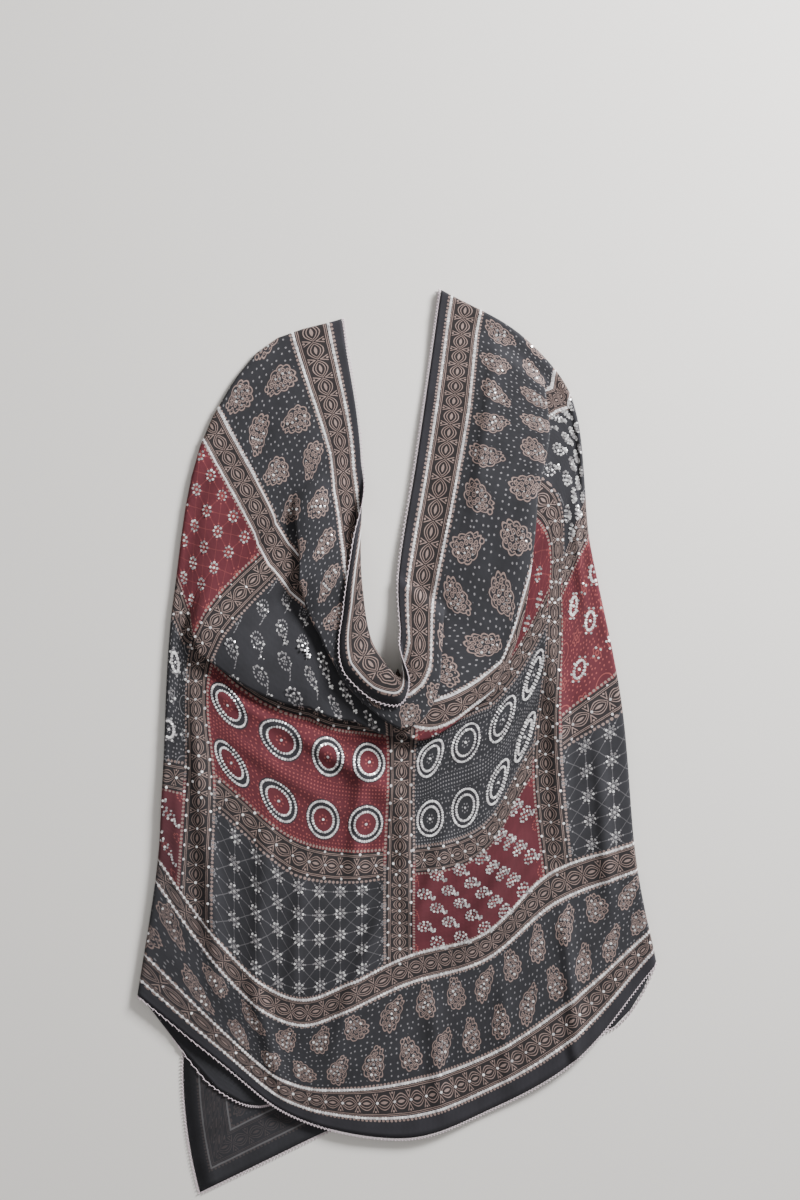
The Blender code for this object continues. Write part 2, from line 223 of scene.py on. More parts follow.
def section(u, v):
    """How far below the V a point of the front lies, and how high, from the arc lengths of its folds."""
    folds = pleats(u)
    inside = folds["edge_taken"] - v
    rolled = np.clip(inside, 0, folds["edge_turn"] * EDGE_RADIUS) / EDGE_RADIUS
    turned = np.maximum(inside - folds["edge_turn"] * EDGE_RADIUS, 0)
    along = np.where(inside > 0,
                     -EDGE_RADIUS * np.sin(rolled) - turned * np.cos(folds["edge_turn"]), -inside)
    height = EDGE_RADIUS * (1 - np.cos(rolled)) + turned * np.sin(folds["edge_turn"])
    lip_reach = 0
    drops = []
    for lip, turn, back, taken in zip(folds["lips"], folds["turns"], folds["backs"], folds["taken"]):
        past = v - lip
        run, down = pleat_run(past, turn, back)
        along = np.where(past > 0, lip - folds["edge_taken"] - lip_reach + run, along)
        drops.append((lip - folds["edge_taken"] - lip_reach, turn, back, down))
        lip_reach = lip_reach + taken
    for lip_along, turn, back, down in drops:
        whole = 2 * PLEAT_RADIUS * (1 - np.cos(turn)) + back * np.sin(turn)
        ramp_top = lip_along - back - 2 * PLEAT_RADIUS
        height = height + (whole - down) * ease(along, ramp_top - 0.12, ramp_top)
    return along, height

# %% [markdown]
# ## The plan, the layers and the side folds
# Seven splines along the length give a point on each row of the plan, and an eighth, across them, gives
# the place. The two ends go half a turn round the side folds and lie flat below the front, the right one
# lowest. One corner of it swings out at the lower left.

# %% Plan and layers
def plan(u, v, along):
    """The place on the floor of a point at u: a spline across the seven rows, `along` metres below the V."""
    left, right = look_up(v, SIDE_FOLD[-1]), look_up(v, SIDE_FOLD[1])
    lengths = np.stack([left, *(np.full_like(u, length) for length in PLAN_LENGTHS), right], axis=1)
    rows = np.stack([spline(lengths, np.broadcast_to(row, (len(u), *row.shape)), u) for row in PLAN], axis=1)
    steps = np.linalg.norm(np.diff(rows, axis=1), axis=2)
    reach = np.concatenate([np.zeros((len(u), 1)), np.cumsum(steps, axis=1)], axis=1)
    taken = taken_up(u)
    fourth = PLAN_WIDTHS[4] - taken
    knots = np.column_stack([*(fourth * reach[:, k] / reach[:, 4] for k in range(4)),
                             *(PLAN_WIDTHS[k] - taken for k in (4, 5, 6))])
    return spline(knots, rows, along) * SPREAD_OUT


def layer_levels(u, along):
    """The heights of the left end and of the front where the layers below reach, and lower elsewhere."""
    v = WIDTH * along / (WIDTH - taken_up(u))
    left, right = look_up(v, SIDE_FOLD[-1]), look_up(v, SIDE_FOLD[1])
    right_end = right - TAKE[1] * (LENGTH / 2 - right)
    left_end = left + TAKE[-1] * (LENGTH / 2 + left)
    over_right = np.maximum(ease(u, right_end - 0.10, right_end - 0.03), ease(v, 0.55, 0.8))
    over_left = 1 - ease(u, left_end + 0.03, left_end + 0.10)
    lower = THICK / 2 + LAYER_STEP * over_right
    return lower, lower + LAYER_STEP * over_left


def ridge_height(place, ridges):
    """A bell across each ridge, exp of minus the squared distance, tapered to the ridge's two ends."""
    height = np.zeros(len(place))
    for start_x, start_y, end_x, end_y, top, half in ridges:
        start, run = np.array((start_x, start_y)), np.array((end_x - start_x, end_y - start_y))
        offset = place / SPREAD_OUT - start
        share = offset @ run / (run @ run)
        across = np.linalg.norm(offset - np.clip(share, 0, 1)[:, None] * run, axis=1)
        taper = ease(share, -0.1, 0.3) * (1 - ease(share, 0.7, 1.1))
        height = height + top * taper * np.exp(-(across / half) ** 2)
    return height

# %% [markdown]
# ## Creases
# Thin cotton that has been worn keeps soft creases that follow its pull: swags from the shoulders to the
# cowl, drags from the arms, and long soft folds below. They are placed one by one, as the ridges are, but
# they are lower and there are more of them. A few long waves stand for the cloth's unevenness.

# %% Creases
# Columns: start x, y, end x, y, height, half width
CREASES = np.array([
    (-0.33, 0.20, -0.06, 0.00, 0.0075, 0.012),
    (-0.33, 0.10, -0.05, -0.06, 0.0060, 0.010),
    (-0.30, 0.02, -0.08, -0.13, 0.0050, 0.013),
    (-0.30, 0.30, -0.12, 0.10, 0.0080, 0.013),
    (-0.25, 0.42, -0.12, 0.19, 0.0075, 0.012),
    (-0.20, 0.60, -0.13, 0.33, 0.0060, 0.014),
    (0.33, 0.22, 0.08, 0.01, 0.0070, 0.012),
    (0.30, 0.13, 0.07, -0.04, 0.0060, 0.011),
    (0.28, 0.05, 0.06, -0.11, 0.0050, 0.013),
    (0.24, 0.52, 0.18, 0.22, 0.0070, 0.012),
    (0.16, 0.66, 0.12, 0.36, 0.0055, 0.013),
    (0.09, 0.50, 0.06, 0.24, 0.0045, 0.010),
    (-0.062, -0.03, -0.080, -0.24, 0.0095, 0.014),
    (0.006, -0.09, 0.012, -0.30, 0.0080, 0.013),
    (-0.008, -0.22, -0.117, -0.52, 0.0100, 0.014),
    (0.085, -0.13, 0.015, -0.33, 0.0070, 0.012),
    (0.205, -0.15, 0.095, -0.36, 0.0085, 0.014),
    (-0.22, -0.10, -0.24, -0.44, 0.0070, 0.015),
    (-0.16, -0.20, -0.18, -0.42, 0.0050, 0.012),
    (0.33, 0.02, 0.35, -0.30, 0.0080, 0.013),
    (-0.375, 0.05, -0.37, -0.30, 0.0075, 0.011),
    (-0.25, -0.38, -0.19, -0.60, 0.0070, 0.013),
    (0.05, -0.40, 0.07, -0.63, 0.0060, 0.014),
    (0.17, -0.38, 0.18, -0.58, 0.0045, 0.012),
    (0.27, -0.26, 0.295, -0.52, 0.0090, 0.012),
    (-0.31, 0.46, -0.33, 0.18, 0.0055, 0.012),
    (0.29, 0.42, 0.31, 0.20, 0.0050, 0.011),
])
WAVES = ((0.0018, 19, 7, 0.4), (0.0015, -11, 23, 1.9), (0.0010, 37, -21, 3.1))
STACK, STACK_REACH = np.array((0.0, 0.09)), 0.17


def crease_height(place):
    """The creases and some long sine waves, as height over the layers below, less where pleats lie deep."""
    waves = sum(top * (1 + np.sin(place @ np.array((across, down)) + start))
                for top, across, down, start in WAVES)
    deep = np.exp(-(np.linalg.norm(place - STACK, axis=1) / STACK_REACH) ** 2)
    return (ridge_height(place, CREASES) + waves) * (1 - 0.75 * deep)

# %% Drape
def front_point(u, v):
    """The front layer: its section, on the plan, on the layers below, with a soft roll at the side folds."""
    along, height = section(u, v)
    place = plan(u, v, along)
    from_side = np.minimum(u - look_up(v, SIDE_FOLD[-1]), look_up(v, SIDE_FOLD[1]) - u)
    level = layer_levels(u, along)[1]
    roll = (2 * FOLD_RADIUS - LAYER_STEP) * np.exp(-(from_side / 0.025) ** 2)
    soft = ridge_height(place, RIDGES) + crease_height(place)
    return along, place, level + height + roll + soft * ease(from_side, 0, 0.05)


def corner_place(u, v):
    """The corner that hangs out: a straight run along each of its own two edges, the end edge bent."""
    from_end, from_hem = LENGTH / 2 - u, WIDTH - v
    x = CORNER[0] * SPREAD_OUT + from_end * np.cos(CORNER_HEM_ANGLE) + from_hem * np.cos(CORNER_END_ANGLE)
    y = CORNER[1] * SPREAD_OUT + from_end * np.sin(CORNER_HEM_ANGLE) + from_hem * np.sin(CORNER_END_ANGLE)
    return np.column_stack([x + CORNER_BEND * np.minimum(from_hem, 0.3) ** 2, y])


def measure_radius(v, side):
    """The side fold's radius along the length: FOLD_RADIUS over the sine between length and fold."""
    step = 0.01
    fold, before, after = (look_up(width, SIDE_FOLD[side]) for width in (v, v - step, v + step))
    at_fold, inwards = (plan(u, v, section(u, v)[0]) for u in (fold, fold - side * step))
    ahead, behind = (plan(u, width, section(u, width)[0])
                     for u, width in ((after, v + step), (before, v - step)))
    run, inwards = ahead - behind, inwards - at_fold
    area = np.abs(run[:, 0] * inwards[:, 1] - run[:, 1] * inwards[:, 0])
    squash = area / (np.linalg.norm(run, axis=1) * step)
    return FOLD_RADIUS / np.clip(squash, LEAST_SQUASH, MOST_SQUASH)


SPREAD_WIDTHS = np.linspace(0, WIDTH, 501)
RADII = {side: measure_radius(SPREAD_WIDTHS, side) for side in (-1, 1)}


def side_radius(v, side):
    """The side fold's radius at v, read from its measured values."""
    return np.interp(v, SPREAD_WIDTHS, RADII[side])


def end_point(u, v, side):
    """A folded-under end: half a turn round the side fold, then flat below the front."""
    fold = look_up(v, SIDE_FOLD[side])
    radius = side_radius(v, side)
    past = side * (u - fold)
    angle = np.clip(past / radius, 0, np.pi)
    run = np.maximum(past - np.pi * radius, 0)
    folded = fold + side * (radius * np.sin(angle) - run * TAKE[side])
    fold_along, _, fold_height = front_point(fold, v)
    away = ease(run, 0, 0.25)
    flat_along = v * (1 - taken_up(folded) / WIDTH) + 0.012 * (1 - v / WIDTH) - 0.02 * v / WIDTH
    along = fold_along + (flat_along - fold_along) * away
    place = plan(folded, v, along)
    if side < 0:
        rest = layer_levels(folded, along)[0]
    else:
        rest = np.full_like(u, THICK / 2)
        near = 1 - ease(np.hypot(LENGTH / 2 - u, WIDTH - v), CORNER_NEAR, CORNER_FAR)
        place = place + (corner_place(u, v) - place) * near[:, None]
    return place, fold_height - (fold_height - rest) * (1 - np.cos(angle)) / 2


def drape(u, v):
    """The place of each point (u, v) of the cloth: the front, or an end past its side fold."""
    left, right = look_up(v, SIDE_FOLD[-1]), look_up(v, SIDE_FOLD[1])
    _, place, height = front_point(np.clip(u, left, right), v)
    for side, beyond in ((-1, u < left), (1, u > right)):
        end_place, end_height = end_point(u, v, side)
        place = np.where(beyond[:, None], end_place, place)
        height = np.where(beyond, end_height, height)
    return np.column_stack([place, height])

# %% [markdown]
# ## The sheet
# The grid's lines crowd together round the folds, so that each turn has enough faces, and run wide apart
# in the ends that are hidden. The UV map is the cloth's own (u, v) in metres, so the print can't slide.

# %% Grid lines
END_LINES, SIDE_LINES, FRONT_LINES = 22, 6, 222
ROW_LINES = (2, 5, 4, 8, 5, 8, 6, 8, 9, 8, 105)
FRONT_SHARES = (0, 0.12, 0.28, 0.40, 0.60, 0.74, 0.87, 1)
FRONT_LENGTHS = (-0.375, -0.19, -0.09, 0.04, 0.19, 0.375)
LEAST_STRETCH = 0.008


def spread(line, edges, counts):
    """Lines spread evenly between neighbouring edges, counts[k] of them in stretch k."""
    marks = np.concatenate([[0], np.cumsum(counts)])
    span = np.clip(np.searchsorted(marks, line, side="right") - 1, 0, len(counts) - 1)
    here = np.arange(len(line))
    part = (line - marks[span]) / np.asarray(counts)[span]
    return edges[here, span] * (1 - part) + edges[here, span + 1] * part


def column_places(line, v):
    """The place along the cloth of each grid column: close together round the two side folds."""
    left, right = look_up(v, SIDE_FOLD[-1]), look_up(v, SIDE_FOLD[1])
    inner = [np.full_like(v, length) for length in FRONT_LENGTHS]
    edges = np.stack([np.full_like(v, -LENGTH / 2), left - np.pi * side_radius(v, -1), left, *inner, right,
                      right + np.pi * side_radius(v, 1), np.full_like(v, LENGTH / 2)], axis=1)
    front = np.diff(FRONT_SHARES) * FRONT_LINES
    return spread(line, edges, (END_LINES, SIDE_LINES, *front, SIDE_LINES, END_LINES))


def row_places(line, u):
    """The place across the cloth of each grid row, so that the rows follow the folds."""
    folds = pleats(u)
    edges = [np.zeros_like(u)]
    for stretch in (folds["edge"], folds["edge_turn"] * EDGE_RADIUS):
        edges.append(edges[-1] + np.maximum(stretch, LEAST_STRETCH))
    for lip, turn, back in zip(folds["lips"], folds["turns"], folds["backs"]):
        edges.append(np.maximum(lip, edges[-1] + LEAST_STRETCH))
        for stretch in (turn * PLEAT_RADIUS, back, turn * PLEAT_RADIUS):
            edges.append(edges[-1] + np.maximum(stretch, LEAST_STRETCH))
    edges.append(np.full_like(u, WIDTH))
    return spread(line, np.stack(edges, axis=1), ROW_LINES)

# %% Mesh helpers
def make_object(name, points, faces, material):
    """A mesh object from an array of points and an array of faces, each row a face's corners."""
    mesh = bpy.data.meshes.new(name)
    sides = faces.shape[1]
    mesh.vertices.add(len(points))
    mesh.vertices.foreach_set("co", points.astype(np.float32).ravel())
    mesh.loops.add(faces.size)
    mesh.loops.foreach_set("vertex_index", faces.astype(np.int32).ravel())
    mesh.polygons.add(len(faces))
    mesh.polygons.foreach_set("loop_start", np.arange(0, faces.size, sides, dtype=np.int32))
    mesh.update(calc_edges=True)
    mesh.validate()
    mesh.materials.append(material)
    piece = bpy.data.objects.new(name, mesh)
    bpy.context.scene.collection.objects.link(piece)
    return piece


def grid_faces(rows, columns):
    """The quads of a grid of points whose index is row times the column count plus column."""
    corner = (np.arange(rows - 1)[:, None] * columns + np.arange(columns - 1)).ravel()
    return np.column_stack([corner, corner + columns, corner + columns + 1, corner + 1])


def linear(hex_colour):
    """An sRGB hex colour as linear RGBA: a power of 2.4, with a straight part near black."""
    channels = np.array([int(hex_colour[k:k + 2], 16) for k in (1, 3, 5)]) / 255
    return (*np.where(channels <= 0.04045, channels / 12.92, ((channels + 0.055) / 1.055) ** 2.4), 1)

# %% [markdown]
# ## The print
# Ajrakh is cotton printed by wooden blocks with resist, mordant and indigo: red and blue-black grounds,
# pale lines where the resist kept the dye out, and soft uneven colour. Each block's motif is drawn here
# by distance: how far a point is from a line, ring or dot, in millimetres on the cloth. A repeat comes
# from wrapping a coordinate, so one motif serves a whole band or patch.

# %% Node helpers
def add(tree, kind, *inputs, **settings):
    """A node with its settings; each input is a socket to link or a value, in the order of its sockets."""
    node = tree.nodes.new(kind)
    for name, value in settings.items():
        setattr(node, name, value)
    for socket, value in zip([socket for socket in node.inputs if socket.enabled], inputs):
        if isinstance(value, bpy.types.NodeSocket):
            tree.links.new(value, socket)
        elif value is not None:
            socket.default_value = value
    return next(socket for socket in node.outputs if socket.enabled)


MATHS, MIX, JOIN, VECTOR = "ShaderNodeMath", "ShaderNodeMix", "ShaderNodeCombineXYZ", "ShaderNodeVectorMath"


def maths(operation):
    """A function that adds one kind of maths node to a tree, with its values in order."""
    def node(tree, *values):
        return add(tree, MATHS, *values, operation=operation)
    return node


plus, minus, times, divided = (maths(name) for name in ("ADD", "SUBTRACT", "MULTIPLY", "DIVIDE"))
times_plus, absolute, smaller = (maths(name) for name in ("MULTIPLY_ADD", "ABSOLUTE", "MINIMUM"))
arctan, cosine, rounded_down = (maths(name) for name in ("ARCTAN2", "COSINE", "FLOOR"))
below, above = maths("LESS_THAN"), maths("GREATER_THAN")

# %% Print colours and sizes
BLACK_GROUND, RED_GROUND, BAND_GROUND, HEM_GROUND = "#2a2a2e", "#56232b", "#262223", "#29282d"
LINE_COLOUR, DOT_COLOUR, WHITE_LINE, RED_DOT = "#8a7670", "#79777a", "#dad6d8", "#8a4745"

# Real sizes of the print, in millimetres
HEM, BAND, PAISLEY, PATCH_LONG, PATCH_ACROSS = 30, 50, 145, 325, 200
BORDER = HEM + BAND + PAISLEY + BAND
BAND_MIDDLE, PAISLEY_MIDDLE, FIELD_START = HEM + BAND / 2, HEM + BAND + PAISLEY / 2, BORDER + 3.0
LOBE_REACH, WHITE_AT, WHITE_HALF = 6.0, 24.4, 1.7
NECK_CURL = 12
LONG_PITCH, ACROSS_PITCH = PATCH_LONG + BAND, PATCH_ACROSS + BAND
EYE_PITCH = ACROSS_PITCH / 8
STAR_PITCH, STAR_RADIUS = 40.0, 8.3
SPRIG_PITCH, SPRIG_RISE, SPRIG_LEAN = 54.0, 44.0, 0.6
LEAF_LONG, LEAF_WIDE = 14.5, 11.0
RING_PITCH = PATCH_LONG / 4
BIG_RINGS, RING_CENTRE = (29.5, 20.5), 51.0
SMALL_RING, SMALL_RING_PITCH, SMALL_RING_RISE = 12.0, 78.0, 50.0
PAISLEY_PITCH, PAISLEY_ROWS, PAISLEY_LONG, PAISLEY_WIDE, PAISLEY_LOBES = 66.0, 35.0, 25.0, 18.5, 11

# %% Marks that motifs share
def near(tree, value, target, half):
    """1 where a value is within half of its target, and 0 elsewhere."""
    return add(tree, MATHS, value, target, half, operation="COMPARE")


def wrapped(tree, value, pitch):
    """A coordinate measured from the nearest multiple of the pitch, from minus half a pitch to half."""
    return add(tree, MATHS, value, pitch / 2, -pitch / 2, operation="WRAP")


def distance(tree, x, y):
    """The length of (x, y)."""
    return add(tree, VECTOR, add(tree, JOIN, x, y), operation="LENGTH")


def either(tree, *masks):
    """The largest of some masks."""
    whole = masks[0]
    for mask in masks[1:]:
        whole = add(tree, MATHS, whole, mask, operation="MAXIMUM")
    return whole


def both(tree, *masks):
    """The product of some masks."""
    whole = masks[0]
    for mask in masks[1:]:
        whole = times(tree, whole, mask)
    return whole


def dots(tree, x, y, pitch, radius):
    """A square lattice of dots: the wrapped coordinates' length is under the radius."""
    lattice = distance(tree, wrapped(tree, x, pitch), wrapped(tree, y, pitch))
    return below(tree, lattice, radius)


def dot_ring(tree, length, angle, count, radius, size):
    """A ring of dots in polar terms: the wrapped angle times the radius, against the length past it."""
    sideways = times(tree, wrapped(tree, angle, 2 * np.pi / count), radius)
    outwards = minus(tree, length, radius)
    return below(tree, distance(tree, outwards, sideways), size)


def cell_distance(tree, x, y, pitch, scatter):
    """The distance to the nearest point of a scattered lattice, as a share of its pitch (Voronoi)."""
    cells = tree.nodes.new("ShaderNodeTexVoronoi")
    cells.voronoi_dimensions = "2D"
    cells.inputs["Scale"].default_value = 1 / pitch
    cells.inputs["Randomness"].default_value = scatter
    tree.links.new(add(tree, JOIN, x, y), cells.inputs["Vector"])
    return cells.outputs["Distance"]


def scattered_dots(tree, x, y, pitch, radius):
    """Dots at the points of a scattered lattice."""
    return below(tree, cell_distance(tree, x, y, pitch, 0.55), radius / pitch)


def shade(tree, under, over, mask):
    """The colour over laid on the colour under where the mask is 1."""
    return add(tree, MIX, mask, under, over, data_type="RGBA")

# %% [markdown]
# The narrow bands hold a chain of eyes. Each eye is three lenses, one in the other, round a dot. Where
# two eyes meet, a mark flares out to each side, with a dot in its fork. Two thin lines close the band.

# %% Eye bands
EYE_WIDE, EYE_LONG = 12.0, EYE_PITCH / 2 * 0.97


def eye_band(tree, along, across):
    """Eyes as rings of a lens's own reach, (x/long)^2 + |y|/wide, and marks that open as they go out."""
    place = wrapped(tree, along, EYE_PITCH)
    out = absolute(tree, across)
    share = divided(tree, place, EYE_LONG)
    reach = times_plus(tree, share, share, divided(tree, out, EYE_WIDE))
    eye = either(tree, near(tree, reach, 0.93, 0.065), near(tree, reach, 0.58, 0.055),
                 below(tree, reach, 0.2))
    from_meeting = minus(tree, EYE_PITCH / 2, absolute(tree, place))
    fork = times(tree, plus(tree, out, -4.0), 0.42)
    mark = both(tree, near(tree, from_meeting, fork, 0.75), near(tree, out, 9.0, 6.0))
    leaf = distance(tree, from_meeting, plus(tree, out, -14.0))
    rails = either(tree, near(tree, out, 18.0, 0.5), near(tree, out, 20.5, 0.5))
    return either(tree, eye, mark, below(tree, leaf, 1.7), rails), out


def scallops(tree, along, out):
    """A row of small lobes outside the band: discs 7 mm apart, centred 28 mm out."""
    lobe = distance(tree, wrapped(tree, along, 7.0), plus(tree, out, -28.0))
    return below(tree, lobe, 2.4)

# %% [markdown]
# The wide bands hold two staggered rows of paisleys at uneven angles, over a ground of fine dots. Seen
# from its middle, a paisley is a bent ellipse, narrower at one end, and its outline is scalloped by the
# cosine of its angle. Small circles with dots in them fill it, and a curl ends the narrow side.

# %% Paisley band
def paisley_angle(tree, cell, row):
    """A paisley leans by 0.65 sin(2.3 cell + 1.1 row) either side of straight across the band."""
    turn = times_plus(tree, cell, 2.3, times(tree, row, 1.1))
    return times_plus(tree, add(tree, MATHS, turn, operation="SINE"), 0.65, -np.pi / 2)


def turned(tree, x, y, angle):
    """The point (x, y) turned about the origin by an angle."""
    point = add(tree, "ShaderNodeVectorRotate", add(tree, JOIN, x, y), (0, 0, 0), angle,
                rotation_type="Z_AXIS")
    parts = tree.nodes.new("ShaderNodeSeparateXYZ")
    tree.links.new(point, parts.inputs[0])
    return parts.outputs[0], parts.outputs[1]


def paisley_band(tree, along, across):
    """Paisleys in two staggered rows: their lines, and the ground of dots outside them."""
    row = add(tree, MATHS, across, operation="SIGN")
    shifted = times_plus(tree, row, PAISLEY_PITCH / 4, along)
    cell = add(tree, MATHS, divided(tree, shifted, PAISLEY_PITCH), operation="ROUND")
    height = times_plus(tree, row, -PAISLEY_ROWS, across)
    x, y = turned(tree, wrapped(tree, shifted, PAISLEY_PITCH), height, paisley_angle(tree, cell, row))
    share = divided(tree, x, PAISLEY_LONG)
    bent = times_plus(tree, times(tree, share, share), 6.0, y)
    width = times_plus(tree, share, -0.17 * PAISLEY_WIDE, PAISLEY_WIDE * 0.95)
    rise = divided(tree, bent, width)
    reach = distance(tree, share, rise)
    angle = arctan(tree, rise, share)
    wave = cosine(tree, times(tree, angle, PAISLEY_LOBES / 2))
    edge = times_plus(tree, absolute(tree, wave), 0.16, 0.9)
    circle = cell_distance(tree, x, bent, 8.0, 0.3)
    rings = either(tree, near(tree, circle, 0.37, 0.085), below(tree, circle, 0.13))
    curl_x = plus(tree, x, -PAISLEY_LONG - 1.0)
    curl = near(tree, distance(tree, curl_x, plus(tree, y, 1.0)), 3.4, 0.8)
    inside = below(tree, reach, 0.88)
    lines = either(tree, near(tree, reach, edge, 0.05), both(tree, rings, inside), curl)
    clear = above(tree, reach, 1.22)
    ground = both(tree, scattered_dots(tree, along, across, 10.5, 1.5), clear)
    return lines, ground

# %% [markdown]
# The patches carry four designs. Stars stand on the crossings of a net of thin lines. Sprigs are small
# leaves that lean one way. Big rings stand two rows deep among dotted lines, and small rings alternate
# with florets. The bright parts of all four are real sequins, added later as meshes, so the print below
# them holds what is printed, and also a painted shadow round the big rings.

# %% Patch designs
def petals(tree, x, y, count, radius):
    """A floret: petals where the cosine of count times the angle is high, between two radii."""
    length = distance(tree, x, y)
    angle = arctan(tree, y, x)
    lobes = cosine(tree, times(tree, angle, float(count)))
    edge = times_plus(tree, lobes, radius * 0.18, radius * 0.82)
    return either(tree, near(tree, length, edge, 1.1), near(tree, length, radius * 0.3, 1.0))


def star_net(tree, x, y):
    """Thin lines square and diagonal through the crossings, and a floret on each crossing."""
    local_x, local_y = wrapped(tree, x, STAR_PITCH), wrapped(tree, y, STAR_PITCH)
    far_x = absolute(tree, local_x)
    far_y = absolute(tree, local_y)
    length = distance(tree, local_x, local_y)
    lines = either(tree, near(tree, local_x, 0.0, 0.5), near(tree, local_y, 0.0, 0.5),
                   near(tree, far_x, far_y, 0.7))
    outside = above(tree, length, 11.5)
    angle = arctan(tree, local_y, local_x)
    knots = dot_ring(tree, length, angle, 8, 12.5, 1.4)
    thin = times(tree, both(tree, lines, outside), 0.42)
    return either(tree, thin, knots, petals(tree, local_x, local_y, 8, 7.0))


def staggered(tree, x, y, pitch, rise):
    """Local coordinates in rows a rise apart, every second row moved on by half a pitch."""
    row = add(tree, MATHS, divided(tree, y, rise), operation="ROUND")
    moved = times_plus(tree, row, pitch / 2, x)
    return wrapped(tree, moved, pitch), wrapped(tree, y, rise)


def sprigs(tree, x, y):
    """Leaning leaves: two rings of dots in an ellipse round one dot, and a curved stalk of dots."""
    local_x, local_y = staggered(tree, x, y, SPRIG_PITCH, SPRIG_RISE)
    lean_x, lean_y = turned(tree, local_x, local_y, np.pi - SPRIG_LEAN)
    leaf_x = plus(tree, lean_x, -3.0)
    wide = times(tree, lean_y, LEAF_LONG / LEAF_WIDE)
    reach = distance(tree, leaf_x, wide)
    angle = arctan(tree, wide, leaf_x)
    leaf = either(tree, dot_ring(tree, reach, angle, 13, LEAF_LONG - 1.5, 1.9),
                  dot_ring(tree, reach, angle, 6, 5.0, 1.5), below(tree, reach, 1.8))
    curl = times_plus(tree, times(tree, lean_x, lean_x), -0.03, 5.0)
    beads = near(tree, wrapped(tree, lean_x, 3.6), 0.0, 1.2)
    stalk = both(tree, near(tree, lean_y, curl, 1.3), near(tree, lean_x, -17.0, 6.0), beads)
    return either(tree, leaf, stalk)


def big_rings(tree, x, y):
    """Dotted lines in threes along the patch, scattered dots between rings, and a painted shadow round the
    rings.
    """
    local_x = wrapped(tree, minus(tree, x, RING_PITCH / 2), RING_PITCH)
    far_y = absolute(tree, y)
    local_y = minus(tree, far_y, RING_CENTRE)
    length = distance(tree, local_x, local_y)
    angle = arctan(tree, local_y, local_x)
    clear = above(tree, length, BIG_RINGS[0] + 4.5)
    lines = either(tree, near(tree, y, 0.0, 12.0), near(tree, far_y, 93.0, 8.0))
    dotted = both(tree, dots(tree, x, y, 6.2, 1.35), lines, clear)
    zone = minus(tree, 1.0, lines)
    loose = both(tree, scattered_dots(tree, x, y, 7.8, 1.4), zone, clear)
    floret = dot_ring(tree, length, angle, 7, 7.0, 1.5)
    gap = (BIG_RINGS[0] + BIG_RINGS[1]) / 2
    # Painted shadow: a dark band under and between the big rings' sequins, and a thin one just outside them.
    shadow = either(tree, near(tree, length, gap, 5.5), near(tree, length, BIG_RINGS[0] + 2.4, 0.9))
    return either(tree, dotted, loose, floret), shadow


def small_rings(tree, x, y):
    """A dot in each small ring and dots round it, with a looser floret and dots between rings."""
    local_x, local_y = staggered(tree, x, y, SMALL_RING_PITCH, SMALL_RING_RISE)
    length = distance(tree, local_x, local_y)
    angle = arctan(tree, local_y, local_x)
    ring = either(tree, dot_ring(tree, length, angle, 6, 5.0, 1.1),
                  near(tree, length, SMALL_RING + 3.6, 0.8))
    far_x = wrapped(tree, plus(tree, local_x, SMALL_RING_PITCH / 2), SMALL_RING_PITCH)
    between = petals(tree, far_x, local_y, 6, 11.0)
    away = above(tree, length, SMALL_RING + 8.0)
    off = above(tree, distance(tree, far_x, local_y), 14.0)
    return either(tree, ring, between, both(tree, scattered_dots(tree, x, y, 8.0, 1.5), away, off))

# %% [markdown]
# The bands and patches are chosen by distance to the nearest edge of the cloth, so the borders meet in
# mitred corners, and by which patch a point lies in. Even and odd patches take red and black in turn.

# %% Places on the print
HAND_WAVER = 0.0016


def in_millimetres(tree, place):
    """The first two parts of a place given in metres."""
    parts = tree.nodes.new("ShaderNodeSeparateXYZ")
    tree.links.new(add(tree, VECTOR, place, (1000, 1000, 1000), operation="MULTIPLY"), parts.inputs[0])
    return parts.outputs[0], parts.outputs[1]


def uv_place(tree, name):
    """The place that a UV map gives, in metres."""
    uv_map = tree.nodes.new("ShaderNodeUVMap")
    uv_map.uv_map = name
    return uv_map.outputs[0]


def wavering_place(tree):
    """u and v, moved a little by a noise, since blocks are set down by hand."""
    cloth = uv_place(tree, "cloth")
    wobble = tree.nodes.new("ShaderNodeTexNoise")
    wobble.inputs["Scale"].default_value = 90.0
    tree.links.new(cloth, wobble.inputs["Vector"])
    shift = add(tree, VECTOR, wobble.outputs["Color"], (-0.5, -0.5, -0.5), operation="ADD")
    return in_millimetres(tree, add(tree, VECTOR, shift, (HAND_WAVER, HAND_WAVER, 0), cloth,
                                    operation="MULTIPLY_ADD"))


def edge_depths(tree, u, v):
    """How far in from the nearest edge and the nearest long edge, and 1 where an end is the nearest."""
    from_end = minus(tree, LENGTH * 500, absolute(tree, u))
    from_neck = times_plus(tree, v, 1 - NECK_CURL / BORDER, float(NECK_CURL))
    from_side = smaller(tree, from_neck, minus(tree, WIDTH * 1000, v))
    return smaller(tree, from_end, from_side), from_side, below(tree, from_end, from_side)

